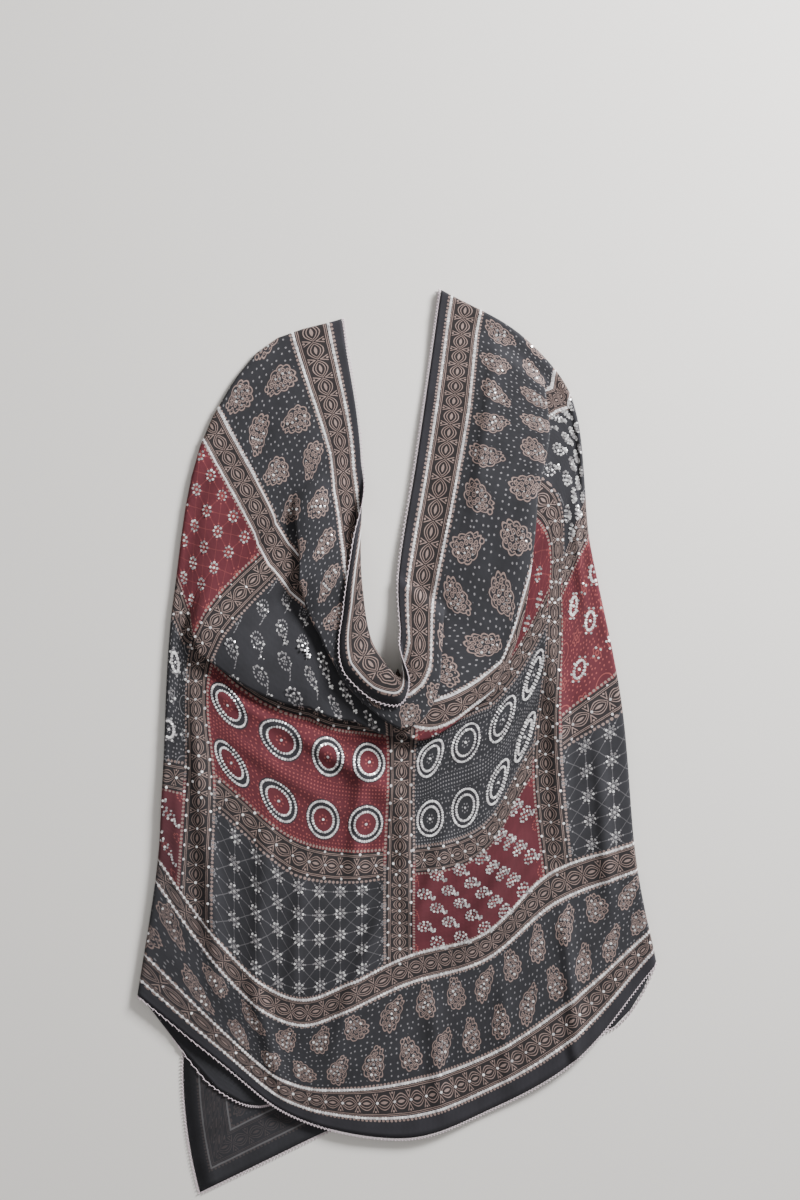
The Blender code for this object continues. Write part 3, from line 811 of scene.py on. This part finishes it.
# %% Narrow bands in their places
def narrow_bands(tree, u, v, depth, from_side, at_end):
    """The masks of the bands' ground, of their lines, of the lobes beside them and of the white lines."""
    middle_u, middle_v = wrapped(tree, u, LONG_PITCH), wrapped(tree, v, ACROSS_PITCH)
    in_field = above(tree, depth, BORDER - BAND - LOBE_REACH)
    upright = both(tree, near(tree, middle_u, 0.0, BAND / 2 + LOBE_REACH), in_field,
                   above(tree, from_side, FIELD_START))
    outer = near(tree, depth, BAND_MIDDLE, BAND / 2 + LOBE_REACH)
    inner_across = add(tree, MIX, upright, middle_v, middle_u, data_type="FLOAT")
    across = add(tree, MIX, outer, inner_across, minus(tree, depth, BAND_MIDDLE), data_type="FLOAT")
    square_u, square_v = in_millimetres(tree, uv_place(tree, "square"))
    turn = add(tree, MIX, outer, upright, at_end, data_type="FLOAT")
    along = add(tree, MIX, turn, square_u, square_v, data_type="FLOAT")
    flat = both(tree, near(tree, middle_v, 0.0, BAND / 2 + LOBE_REACH), in_field)
    in_band = either(tree, outer, upright, flat)
    lines, out = eye_band(tree, along, across)
    ground = both(tree, in_band, below(tree, out, BAND / 2))
    lobes = both(tree, in_band, scallops(tree, along, out))
    white = both(tree, in_band, near(tree, out, WHITE_AT, WHITE_HALF), below(tree, depth, FIELD_START))
    return ground, lines, lobes, white

# %% Patches in their places
def patches(tree, u, v):
    """The colour of every patch: even and odd ones in black and red, each with the design of its row."""
    column = rounded_down(tree, divided(tree, u, LONG_PITCH))
    row = rounded_down(tree, divided(tree, v, ACROSS_PITCH))
    count = add(tree, MATHS, plus(tree, column, row), 2.0, operation="FLOORED_MODULO")
    red = near(tree, count, 1.0, 0.1)
    patch_u = minus(tree, u, times_plus(tree, column, LONG_PITCH, LONG_PITCH / 2))
    patch_v = minus(tree, v, times_plus(tree, row, ACROSS_PITCH, ACROSS_PITCH / 2))
    ring_row = near(tree, row, 2.0, 0.1)
    big = both(tree, ring_row, near(tree, column, -0.5, 0.6))
    starred = absolute(tree, minus(tree, red, above(tree, row, 2.0)))
    ring_lines, ring_shadow = big_rings(tree, patch_u, patch_v)
    star_or_sprig = add(tree, MIX, starred, sprigs(tree, patch_u, patch_v), star_net(tree, patch_u, patch_v),
                        data_type="FLOAT")
    small_or_big = add(tree, MIX, big, small_rings(tree, patch_u, patch_v), ring_lines, data_type="FLOAT")
    lines = add(tree, MIX, ring_row, star_or_sprig, small_or_big, data_type="FLOAT")
    ground = shade(tree, linear(BLACK_GROUND), linear(RED_GROUND), red)
    # The painted shadow round the big rings, in the hem's dark colour.
    ground = shade(tree, ground, linear(HEM_GROUND), both(tree, ring_shadow, big, ring_row))
    return shade(tree, ground, shade(tree, linear(DOT_COLOUR), linear(RED_DOT), red), lines)

# %% Printed cloth as a node group
def make_print_group():
    """The whole print from the two UV maps: its colour, and a mask of its printed lines."""
    tree = bpy.data.node_groups.new("ajrakh_print", "ShaderNodeTree")
    tree.interface.new_socket("Colour", in_out="OUTPUT", socket_type="NodeSocketColor")
    tree.interface.new_socket("Lines", in_out="OUTPUT", socket_type="NodeSocketFloat")
    u, v = wavering_place(tree)
    depth, from_side, at_end = edge_depths(tree, u, v)
    band_ground, band_lines, lobes, white = narrow_bands(tree, u, v, depth, from_side, at_end)
    in_paisley = near(tree, depth, PAISLEY_MIDDLE, PAISLEY / 2)
    along = add(tree, MIX, at_end, u, v, data_type="FLOAT")
    paisley, ground_dots = paisley_band(tree, along, minus(tree, depth, PAISLEY_MIDDLE))

    border = shade(tree, shade(tree, linear(BLACK_GROUND), linear(DOT_COLOUR), ground_dots),
                   linear(LINE_COLOUR), paisley)
    colour = shade(tree, patches(tree, u, v), border, in_paisley)
    colour = shade(tree, colour, linear(HEM_GROUND), below(tree, depth, float(HEM)))
    band = shade(tree, linear(BAND_GROUND), linear(LINE_COLOUR), band_lines)
    colour = shade(tree, colour, band, band_ground)
    for hex_colour, mask in ((LINE_COLOUR, lobes), (WHITE_LINE, white)):
        colour = shade(tree, colour, linear(hex_colour), mask)

    result = tree.nodes.new("NodeGroupOutput")
    tree.links.new(colour, result.inputs["Colour"])
    lines = either(tree, both(tree, band_ground, band_lines), both(tree, in_paisley, paisley), white)
    tree.links.new(lines, result.inputs["Lines"])
    return tree


print_group = make_print_group()
print("print nodes", len(print_group.nodes))

# %% [markdown]
# ## The cotton
# Washed, block-printed cotton is matt with a faint fuzz: roughness near 0.9, an IOR of 1.5 and a little
# sheen. The dye sits unevenly, so a soft noise fades it, and the printed lines stand a touch proud. Its
# real threads are 0.3 mm apart, too fine to show, so the bump draws them 1.6 mm apart. The reverse carries
# the same print. Painted shade darkens the print towards the hem, a little on the face and much on the
# reverse, and more still on the left end's low part.

# %% Cotton materials
THREAD_SPACING_MM = 1.6
FADE_PATCH_MM = 45


def make_cotton(name, shade_at_neck, shade_at_hem):
    """Printed cotton: the print under painted shade of the ground's colour, soft fading, and a weave's bump.
    """
    material = bpy.data.materials.new(name)
    material.use_nodes = True
    tree = material.node_tree
    shader = tree.nodes["Principled BSDF"]
    print_node = tree.nodes.new("ShaderNodeGroup")
    print_node.node_tree = print_group
    cloth = tree.nodes.new("ShaderNodeUVMap")
    cloth.uv_map = "cloth"
    fading = tree.nodes.new("ShaderNodeTexNoise")
    fading.inputs["Scale"].default_value = 1000 / FADE_PATCH_MM
    fading.inputs["Detail"].default_value = 5.0
    tree.links.new(cloth.outputs[0], fading.inputs["Vector"])
    worn = add(tree, "ShaderNodeMapRange", fading.outputs[0], 0.3, 0.75, 0.82, 1.22)
    width = tree.nodes.new("ShaderNodeSeparateXYZ")
    tree.links.new(cloth.outputs[0], width.inputs[0])
    # Painted shade: the print darkens towards the hem, and more on the left end's low part.
    painted_shade = add(tree, "ShaderNodeMapRange", width.outputs[1], 0.3, 0.9, shade_at_neck, shade_at_hem)
    left = add(tree, "ShaderNodeMapRange", width.outputs[0], -0.25, -0.5, 0.0, 1.0)
    low = add(tree, "ShaderNodeMapRange", width.outputs[1], 0.6, 0.95, 0.0, 0.4)
    painted_shade = times_plus(tree, left, low, painted_shade)
    shaded_print = add(tree, MIX, painted_shade, print_node.outputs["Colour"], linear(BLACK_GROUND), data_type="RGBA")
    faded = add(tree, "ShaderNodeHueSaturation", None, None, worn, None, shaded_print)
    tree.links.new(faded, shader.inputs["Base Color"])
    weave = [tree.nodes.new("ShaderNodeTexWave") for _ in range(2)]
    for wave, direction in zip(weave, ("X", "Y")):
        wave.bands_direction = direction
        wave.inputs["Scale"].default_value = 1000 / THREAD_SPACING_MM / 20
        wave.inputs["Distortion"].default_value = 0.6
        tree.links.new(cloth.outputs[0], wave.inputs["Vector"])
    threads = times(tree, weave[0].outputs["Fac"], weave[1].outputs["Fac"])
    relief = times_plus(tree, print_node.outputs["Lines"], 0.35, threads)
    bump = tree.nodes.new("ShaderNodeBump")
    bump.inputs["Strength"].default_value = 0.25
    bump.inputs["Distance"].default_value = 0.0004
    tree.links.new(relief, bump.inputs["Height"])
    tree.links.new(bump.outputs[0], shader.inputs["Normal"])
    shader.inputs["Roughness"].default_value = 0.88
    shader.inputs["IOR"].default_value = 1.5
    shader.inputs["Specular IOR Level"].default_value = 0.25
    shader.inputs["Sheen Weight"].default_value = 0.08
    shader.inputs["Sheen Roughness"].default_value = 0.5
    return material


face_cotton = make_cotton("block_printed_cotton", 0.0, 0.10)
reverse_cotton = make_cotton("block_printed_cotton_reverse", 0.08, 0.9)

# %% [markdown]
# The plan slants the cloth's two directions more than cotton would give. So that the bands' blocks still
# stand square to their band, as they do on real cloth, a second map holds the cloth's coordinates turned
# square to the nearest band. It is equal to the first map on every band's middle line.

# %% Coordinates square to the bands
BAND_LINES = np.array((BAND_MIDDLE, *np.arange(1, 5) * ACROSS_PITCH, WIDTH * 1000 - BAND_MIDDLE)) / 1000


def slants(u, v):
    """How far the directions along and across lean towards each other, as a share of each one's length."""
    step = 0.004
    along = drape(u + step, v) - drape(u - step, v)
    across = drape(u, v + step) - drape(u, v - step)
    lean = np.sum(along * across, axis=1)
    return [np.clip(lean / np.sum(way * way, axis=1), -0.9, 0.9) for way in (along, across)]


def square_to_bands(u, v):
    """(u, v) moved by the slant at the nearest band's middle line, times the distance from that line."""
    line_v = BAND_LINES[np.abs(v[:, None] - BAND_LINES).argmin(axis=1)]
    line_u = np.round(u * 1000 / LONG_PITCH) * LONG_PITCH / 1000
    return u + slants(u, line_v)[0] * (v - line_v), v + slants(line_u, v)[1] * (u - line_u)

# %% Make the sheet
SETTLING_TURNS = 25


def make_sheet():
    """A grid of (u, v) moved by drape. Rows and columns depend on each other, so they settle in turns."""
    columns, rows = 2 * END_LINES + 2 * SIDE_LINES + FRONT_LINES + 1, sum(ROW_LINES) + 1
    row_line, column_line = (line.ravel().astype(float) for line in np.mgrid[0:rows, 0:columns])
    v = row_line / (rows - 1) * WIDTH
    for _ in range(SETTLING_TURNS):
        u = column_places(column_line, v)
        v = row_places(row_line, u)
    points = drape(u, v)
    faces = grid_faces(rows, columns)
    sheet = make_object("shawl_cloth", points, faces, face_cotton)
    sheet.data.materials.append(reverse_cotton)
    for name, pair in (("cloth", (u, v)), ("square", square_to_bands(u, v))):
        uv_map = sheet.data.uv_layers.new(name=name)
        uv_map.data.foreach_set("uv", np.column_stack(pair)[faces.ravel()].astype(np.float32).ravel())
    sheet.data.shade_smooth()
    return sheet, points


shawl, sheet_points = make_sheet()
cad_middle = (np.array(cad_low) + np.array(cad_high)) / 2
sheet_middle = (sheet_points.min(axis=0) + sheet_points.max(axis=0)) / 2
SHIFT = np.array((cad_middle[0] - sheet_middle[0], cad_middle[1] - sheet_middle[1], 0))
shawl.data.vertices.foreach_set("co", (sheet_points + SHIFT).astype(np.float32).ravel())
thickness = shawl.modifiers.new("thickness", "SOLIDIFY")
thickness.thickness = THICK
thickness.offset = 0
thickness.material_offset = 1
thickness.material_offset_rim = 1
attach(shawl, "root")
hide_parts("shawl")
print("sheet quads", len(shawl.data.polygons), "shift", SHIFT.round(4))

# %% [markdown]
# ## Sequins
# Each sequin is a thin metallised plastic disc, about 5 mm across, sewn to the cloth through its middle,
# so no two tilt quite alike and a few always catch the light. Thousands are needed, so a sequin has only
# a few faces, and all of one kind are one mesh. They are set on the same motifs that the print draws.

# %% Where the sequins go, in millimetres along and across the cloth
RING_SEQUIN_PITCH, LACE_PITCH, INNER_LINE = 4.3, 5.2, 22


def on_circles(centres, radius, count, start=0.0):
    """Points evenly round a circle about each centre."""
    angles = start + np.arange(count) / count * 2 * np.pi
    ring = radius * np.column_stack([np.cos(angles), np.sin(angles)])
    return (centres[:, None] + ring).reshape(-1, 2)


def patch_centres(column, row):
    """The middle of a patch, counted from the middle of the cloth and from its neck edge."""
    return np.array([(column + 0.5) * LONG_PITCH, (row + 0.5) * ACROSS_PITCH])


def lattice(centre, pitch, rise, stagger):
    """The repeat's points inside a patch, clear of its edges."""
    rows, columns = np.mgrid[-4:5, -6:7]
    x = columns * pitch + (rows % 2) * pitch / 2 * stagger
    y = rows * rise
    inside = (np.abs(x) < PATCH_LONG / 2 - 8) & (np.abs(y) < PATCH_ACROSS / 2 - 8)
    return centre + np.column_stack([x[inside], y[inside]])


def star_spots(centre):
    """Eight sequins round each star, and one in its middle."""
    stars = lattice(centre, STAR_PITCH, STAR_PITCH, 0)
    return np.concatenate([stars, on_circles(stars, STAR_RADIUS, 8)])


def sprig_spots(centre):
    """Ten sequins round each leaf, four inside it, and a curled tail of five, turned with the leaf."""
    leaves = lattice(centre, SPRIG_PITCH, SPRIG_RISE, -1)
    leaf = [(3 + reach * LEAF_LONG * np.cos(angle), reach * LEAF_WIDE * np.sin(angle))
            for reach, count in ((1.0, 10), (0.45, 4))
            for angle in (np.arange(count) + 0.5) / count * 2 * np.pi]
    tail = [(-14.0, 0.5), (-17.5, -3.0), (-21.5, -5.0), (-24.5, -2.0), (-22.5, 1.5)]
    cos, sin = np.cos(SPRIG_LEAN), np.sin(SPRIG_LEAN)
    spots = -np.array(leaf + tail) @ np.array([(cos, sin), (-sin, cos)])
    return (leaves[:, None] + spots).reshape(-1, 2)


def ring_middles(centre):
    """The middles of a patch's big rings, four by two."""
    columns, rows = np.meshgrid((np.arange(4) - 1.5) * RING_PITCH, (-RING_CENTRE, RING_CENTRE))
    return centre + np.column_stack([columns.ravel(), rows.ravel()])


def big_ring_spots():
    """Two rings of touching sequins about the middle of each big ring."""
    middles = np.concatenate([ring_middles(patch_centres(column, 2)) for column in (-1, 0)])
    return np.concatenate([on_circles(middles, radius, int(2 * np.pi * radius / RING_SEQUIN_PITCH))
                           for radius in BIG_RINGS])


def small_ring_spots(centre):
    """Eight sequins round each small ring, and a loose floret between rings."""
    rings = lattice(centre, SMALL_RING_PITCH, SMALL_RING_RISE, -1)
    between = rings + (SMALL_RING_PITCH / 2, 0)
    return np.concatenate([on_circles(rings, SMALL_RING + 5.5, 8, 0.2), on_circles(between, 8.0, 4)])


def sewn_line(across, pitch, start=-700.0, end=760.0):
    """Sequins in a row along the cloth at one distance across it."""
    along = np.arange(start, end, pitch)
    return np.column_stack([along, np.full_like(along, across)])


def upright_line(along, pitch):
    """Sequins in a row across the field, from border to border."""
    across = np.arange(BORDER - 10, WIDTH * 1000 - BORDER + 10, pitch)
    return np.column_stack([np.full_like(across, along), across])


def patch_spots():
    """The sequins of every patch's design."""
    spots = []
    for column in range(-3, 3):
        starred_first = column % 2 == 0
        spots.append((star_spots if starred_first else sprig_spots)(patch_centres(column, 1)))
        spots.append((sprig_spots if starred_first else star_spots)(patch_centres(column, 3)))
        if column not in (-1, 0):
            spots.append(small_ring_spots(patch_centres(column, 2)))
    return np.concatenate(spots)


def single_spots():
    """Single larger sequins: on the inner bands' lines and eyes, and in the middle of each ring."""
    spots = []
    for column in (-1, 0, 1):
        for offset in (-INNER_LINE, INNER_LINE):
            spots.append(upright_line(column * LONG_PITCH + offset, 29))
        spots.append(upright_line(column * LONG_PITCH, EYE_PITCH))
    for across in (2 * ACROSS_PITCH, 3 * ACROSS_PITCH):
        for offset in (-INNER_LINE, INNER_LINE):
            spots.append(sewn_line(across + offset, 33))
        spots.append(sewn_line(across, EYE_PITCH))
    spots.append(sewn_line(WIDTH * 1000 - BAND_MIDDLE, EYE_PITCH))
    for column in range(-3, 3):
        middle = patch_centres(column, 2)
        if column in (-1, 0):
            spots.append(ring_middles(middle))
        else:
            spots.append(lattice(middle, SMALL_RING_PITCH, SMALL_RING_RISE, -1))
    return np.concatenate(spots)


def neck_width(depth):
    """The place across the cloth of a border depth at the neck edge, where the edge curls under."""
    return (depth - NECK_CURL) / (1 - NECK_CURL / BORDER)


def lace_spots():
    """Touching sequins along the white lines, at both edges, and round the small rings."""
    spots = []
    for column in (-3, -2, 1, 2):
        rings = lattice(patch_centres(column, 2), SMALL_RING_PITCH, SMALL_RING_RISE, -1)
        spots.append(on_circles(rings, SMALL_RING, 18))
    for depth in (HEM + 0.6, HEM + BAND - 0.6, BORDER - BAND + 0.6, BORDER - 0.6):
        spots += [sewn_line(across, LACE_PITCH) for across in (neck_width(depth), WIDTH * 1000 - depth)]
    return np.concatenate(spots)


def paisley_spots(rng):
    """Sequins over most of each paisley's circles, in two rings, on the two long borders."""
    cells = np.arange(-10, 12)
    lobes = np.arange(PAISLEY_LOBES) / PAISLEY_LOBES * 2 * np.pi
    reach = np.where(np.arange(PAISLEY_LOBES) % 3 == 1, 0.35, 0.68)
    share, rise = reach * np.cos(lobes), reach * np.sin(lobes)
    x = np.append(share * PAISLEY_LONG, 0)
    y = np.append(rise * PAISLEY_WIDE * (0.95 - 0.17 * share) - 6 * share ** 2, 0)
    spots = []
    for row in (-1, 1):
        angle = -(0.65 * np.sin(2.3 * cells + 1.1 * row) - np.pi / 2)[:, None]
        middles = cells[:, None] * PAISLEY_PITCH - row * PAISLEY_PITCH / 4
        along = middles + x * np.cos(angle) - y * np.sin(angle)
        depth = PAISLEY_MIDDLE + row * PAISLEY_ROWS + x * np.sin(angle) + y * np.cos(angle)
        for across in (neck_width(depth), WIDTH * 1000 - depth):
            spots.append(np.column_stack([along.ravel(), across.ravel()]))
    spots = np.concatenate(spots)
    return spots[rng.random(len(spots)) < 0.7]

# %% Sequin discs
SEQUIN_ACROSS, SEQUIN_DOME, SEQUIN_LIFT = 0.0048, 0.00045, 0.0011
LACE_ACROSS, SINGLE_ACROSS = 0.0056, 0.0052
SEQUIN_SIDES = 7
SEQUIN_TILT = 0.30


def visible_face(u, v):
    """True where the front's printed face is up and no pleat hides it."""
    folds = pleats(u)
    shows = v > folds["edge_taken"] + 0.002
    for lip, turn, back, taken in zip(folds["lips"], folds["turns"], folds["backs"], folds["taken"]):
        hidden = (v > lip + 0.006) & (v < lip + turn * PLEAT_RADIUS + taken * 0.5 + back + 0.01)
        shows &= ~(hidden & (turn > 2.0))
    side = np.minimum(u - look_up(v, SIDE_FOLD[-1]), look_up(v, SIDE_FOLD[1]) - u)
    return shows & (side > -0.003)


def cloth_frames(u, v):
    """Places on the cloth with its two tangents and its normal, from small steps along and across."""
    step = 0.0008
    place = drape(u, v)
    along = drape(u + step, v) - place
    across = drape(u, v + step) - place
    normal = np.cross(across, along)
    normal /= np.maximum(np.linalg.norm(normal, axis=1, keepdims=True), 1e-12)
    along /= np.maximum(np.linalg.norm(along, axis=1, keepdims=True), 1e-12)
    return place + SHIFT, along, np.cross(normal, along), normal


def make_sequins(name, spots, material, rng, across=SEQUIN_ACROSS):
    """Shallow cones on the cloth's frames, each tilted a little its own way."""
    u, v = spots[:, 0] / 1000, spots[:, 1] / 1000
    keep = visible_face(u, v)
    place, along, side, normal = cloth_frames(u[keep], v[keep])
    tilt = rng.normal(0, SEQUIN_TILT / 2, (len(place), 2))
    normal = normal + tilt[:, :1] * along + tilt[:, 1:] * side
    normal /= np.linalg.norm(normal, axis=1, keepdims=True)
    along = np.cross(side, normal)
    along /= np.linalg.norm(along, axis=1, keepdims=True)
    side = np.cross(normal, along)
    angles = np.arange(SEQUIN_SIDES) / SEQUIN_SIDES * 2 * np.pi
    radius = across / 2 * rng.uniform(0.88, 1.08, len(place))[:, None, None]
    rim = radius * (np.cos(angles)[:, None] * along[:, None] + np.sin(angles)[:, None] * side[:, None])
    rim = rim + (place + normal * SEQUIN_LIFT)[:, None]
    tip = (place + normal * (SEQUIN_LIFT + SEQUIN_DOME))[:, None]
    points = np.concatenate([rim, tip], axis=1)
    count = SEQUIN_SIDES + 1
    corner = np.arange(SEQUIN_SIDES)
    fan = np.column_stack([corner, (corner + 1) % SEQUIN_SIDES, np.full(SEQUIN_SIDES, SEQUIN_SIDES)])
    faces = (np.arange(len(place))[:, None, None] * count + fan).reshape(-1, 3)
    piece = make_object(name, points.reshape(-1, 3), faces, material)
    # A random tone per disc, for the painted glint in its material.
    glint_tone = np.repeat(rng.random(len(place)), 3 * SEQUIN_SIDES)
    glint_tone_map = piece.data.uv_layers.new(name="glint_tone")
    glint_tone_map.data.foreach_set("uv", np.column_stack([glint_tone, glint_tone]).astype(np.float32).ravel())
    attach(piece, "root")
    print(name, len(place), "sequins", len(faces), "faces")
    return piece


def make_sequin_material(name, least_glint_colour, metal):
    """Metallised plastic film under a clear gloss, with painted glints: each disc's random tone mixes its
    colour from grey to white.
    """
    material = bpy.data.materials.new(name)
    material.use_nodes = True
    shader = material.node_tree.nodes["Principled BSDF"]
    tree = material.node_tree
    glint_tone = tree.nodes.new("ShaderNodeUVMap")
    glint_tone.uv_map = "glint_tone"
    parts = tree.nodes.new("ShaderNodeSeparateXYZ")
    tree.links.new(glint_tone.outputs[0], parts.inputs[0])
    # Painted glint: the disc's random tone brightens its colour from grey towards white.
    share = add(tree, MATHS, parts.outputs[0], 1.6, operation="POWER")
    colour = add(tree, MIX, share, linear(least_glint_colour), linear("#ffffff"), data_type="RGBA")
    tree.links.new(colour, shader.inputs["Base Color"])
    shader.inputs["Metallic"].default_value = metal
    shader.inputs["Roughness"].default_value = 0.28
    shader.inputs["Coat Weight"].default_value = 0.5
    return material


rng = np.random.default_rng(7)
sequin_film = make_sequin_material("metallised_sequin_film", "#979396", 0.55)
# A copy of the sequin film painted brighter, as a painted glint for the lace, ring and single sequins.
brighter_glint_film = make_sequin_material("sequin_film_painted_brighter", "#c9c5c8", 0.25)
sequins = make_sequins("sequins", patch_spots(), sequin_film, rng)
single_sequins = make_sequins("single_sequins", single_spots(), brighter_glint_film, rng, across=SINGLE_ACROSS)
ring_sequins = make_sequins("ring_sequins", big_ring_spots(), brighter_glint_film, rng)
lace_sequins = make_sequins("lace_sequins", lace_spots(), brighter_glint_film, rng, across=LACE_ACROSS)
loose_sequins = make_sequins("paisley_sequins", paisley_spots(rng), sequin_film, rng)

# %% [markdown]
# ## Picot edging
# The hem is finished with a fine crocheted edge: a cord of whitish-pink thread with a tiny picot every
# few millimetres. A tube carried round the cloth's four edges, swinging in and out, gives the loops, and
# a small bead of thread stands on each.

# %% Edging
PICOT_PITCH, PICOT_SWING, THREAD_RADIUS, BEAD_RADIUS = 0.0064, 0.0012, 0.0008, 0.0016
EDGE_SIDES = 4


def edge_walk(spacing):
    """Points round the four edges of the cloth in turn, with the way out of the cloth at each."""
    corners = np.array([(-LENGTH / 2, 0), (LENGTH / 2, 0), (LENGTH / 2, WIDTH), (-LENGTH / 2, WIDTH)])
    outwards = np.array([(0, -1), (1, 0), (0, 1), (-1, 0)])
    walk, ways = [], []
    for start, end, way in zip(corners, np.roll(corners, -1, axis=0), outwards):
        share = np.arange(0, 1, spacing / np.abs(end - start).max())[:, None]
        walk.append(start + (end - start) * share)
        ways.append(np.repeat(way[None], len(share), axis=0))
    return np.concatenate(walk), np.concatenate(ways)


def edge_frames(spacing):
    """Places on the edge, the unit way out of the cloth there, and the cloth's normal."""
    walk, ways = edge_walk(spacing)
    inner = walk - ways * 0.0015
    place, _, _, normal = cloth_frames(*np.clip(inner, (-LENGTH / 2 + 0.001, 0.001),
                                                (LENGTH / 2 - 0.001, WIDTH - 0.001)).T)
    edge = drape(*walk.T) + SHIFT
    out = edge - place
    out /= np.maximum(np.linalg.norm(out, axis=1, keepdims=True), 1e-9)
    return edge, out, normal


def make_edging(material):
    """A four-sided tube round the edge, out and in by a sine, with an octahedron on every picot."""
    edge, out, normal = edge_frames(PICOT_PITCH / 4)
    swing = PICOT_SWING * (1 + np.sin(np.arange(len(edge)) * np.pi / 2))
    path = edge + out * (THREAD_RADIUS + swing)[:, None]
    path[:, 2] = np.maximum(path[:, 2], THREAD_RADIUS)
    forward = np.roll(path, -1, axis=0) - np.roll(path, 1, axis=0)
    forward /= np.maximum(np.linalg.norm(forward, axis=1, keepdims=True), 1e-9)
    side = np.cross(forward, normal)
    side /= np.maximum(np.linalg.norm(side, axis=1, keepdims=True), 1e-9)
    up = np.cross(side, forward)
    angles = np.arange(EDGE_SIDES) / EDGE_SIDES * 2 * np.pi + np.pi / 4
    ring = np.cos(angles)[:, None] * side[:, None] + np.sin(angles)[:, None] * up[:, None]
    points = (path[:, None] + THREAD_RADIUS * ring).reshape(-1, 3)
    section_start = np.arange(len(path))[:, None] * EDGE_SIDES
    next_start = np.roll(section_start, -1, axis=0)
    here, there = np.arange(EDGE_SIDES), (np.arange(EDGE_SIDES) + 1) % EDGE_SIDES
    faces = np.stack([section_start + here, section_start + there, next_start + there, next_start + here],
                     axis=2).reshape(-1, 4)
    cord = make_object("picot_thread", points, faces, material)

    bead = edge[::4] + out[::4] * (THREAD_RADIUS + 2 * PICOT_SWING + BEAD_RADIUS * 0.6)
    bead[:, 2] = np.maximum(bead[:, 2], BEAD_RADIUS)
    poles = BEAD_RADIUS * np.array([(1, 0, 0), (0, 1, 0), (-1, 0, 0), (0, -1, 0), (0, 0, 1), (0, 0, -1)])
    octahedron = np.array([(0, 1, 4), (1, 2, 4), (2, 3, 4), (3, 0, 4),
                           (1, 0, 5), (2, 1, 5), (3, 2, 5), (0, 3, 5)])
    bead_points = (bead[:, None] + poles).reshape(-1, 3)
    bead_faces = (np.arange(len(bead))[:, None, None] * len(poles) + octahedron).reshape(-1, 3)
    beads = make_object("picot_beads", bead_points, bead_faces, material)
    for piece in (cord, beads):
        piece.data.shade_smooth()
        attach(piece, "root")
        print(piece.name, len(piece.data.polygons), "faces")
    return cord, beads


def make_thread_material():
    """Mercerised cotton thread: whitish pink, with the soft gloss that its treatment gives."""
    material = bpy.data.materials.new("mercerised_cotton_thread")
    material.use_nodes = True
    tree = material.node_tree
    shader = tree.nodes["Principled BSDF"]
    place = tree.nodes.new("ShaderNodeTexCoord")
    strands = tree.nodes.new("ShaderNodeTexNoise")
    strands.inputs["Scale"].default_value = 700.0
    tree.links.new(place.outputs["Object"], strands.inputs["Vector"])
    colour = add(tree, MIX, strands.outputs[0], linear("#b79dab"), linear("#efe6ea"), data_type="RGBA")
    tree.links.new(colour, shader.inputs["Base Color"])
    shader.inputs["Roughness"].default_value = 0.6
    return material


edging, edge_beads = make_edging(make_thread_material())

# %% [markdown]
# ## Floor, light and camera
# The camera looks straight down at the cloth, framed as a tall picture. The main light is a wide soft
# one from the upper right, low enough to show the folds, with a weaker one opposite.

# %% Floor
floor_material = bpy.data.materials.new("pale_matt_floor")
floor_material.use_nodes = True
floor_material.node_tree.nodes["Principled BSDF"].inputs["Base Color"].default_value = linear("#e6e3df")
floor_material.node_tree.nodes["Principled BSDF"].inputs["Roughness"].default_value = 0.95
FLOOR_HALF, FLOOR_LEVEL = 6.0, -0.0005
floor_points = np.array([(-1, -1, 0), (1, -1, 0), (1, 1, 0), (-1, 1, 0)]) * FLOOR_HALF + (0, 0, FLOOR_LEVEL)
floor = make_object("floor", floor_points, np.array([(0, 1, 2, 3)]), floor_material)
floor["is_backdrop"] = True

# %% Light and camera
FRAME_HEIGHT, FRAME_CENTRE = 2.14, 0.2533
LENS_MM, LONG_SIDE_MM = 70.0, 36.0


def add_light(name, place, size, watts):
    """A square area light at a place, turned to face the middle of the cloth."""
    data = bpy.data.lights.new(name, "AREA")
    data.size, data.energy = size, watts
    light = bpy.data.objects.new(name, data)
    bpy.context.scene.collection.objects.link(light)
    light.location = place
    towards = -np.array(place) / np.linalg.norm(place)
    light.rotation_euler = (np.arccos(-towards[2]), 0, np.arctan2(towards[1], towards[0]) - np.pi / 2)
    return light


add_light("window", (2.7, 2.6, 1.8), 1.1, 480)
add_light("bounce", (-2.8, -1.2, 2.6), 2.5, 20)
world = bpy.data.worlds.new("studio")
world.use_nodes = True
world.node_tree.nodes["Background"].inputs["Color"].default_value = linear("#f4f2ef")
world.node_tree.nodes["Background"].inputs["Strength"].default_value = 0.44
bpy.context.scene.world = world

camera_data = bpy.data.cameras.new("camera")
camera_data.lens, camera_data.sensor_width, camera_data.sensor_fit = LENS_MM, LONG_SIDE_MM, "AUTO"
camera = bpy.data.objects.new("camera", camera_data)
camera.location = (SHIFT[0], FRAME_CENTRE + SHIFT[1], FRAME_HEIGHT * LENS_MM / LONG_SIDE_MM)
bpy.context.scene.collection.objects.link(camera)
bpy.context.scene.camera = camera
print("camera", tuple(round(value, 3) for value in camera.location))
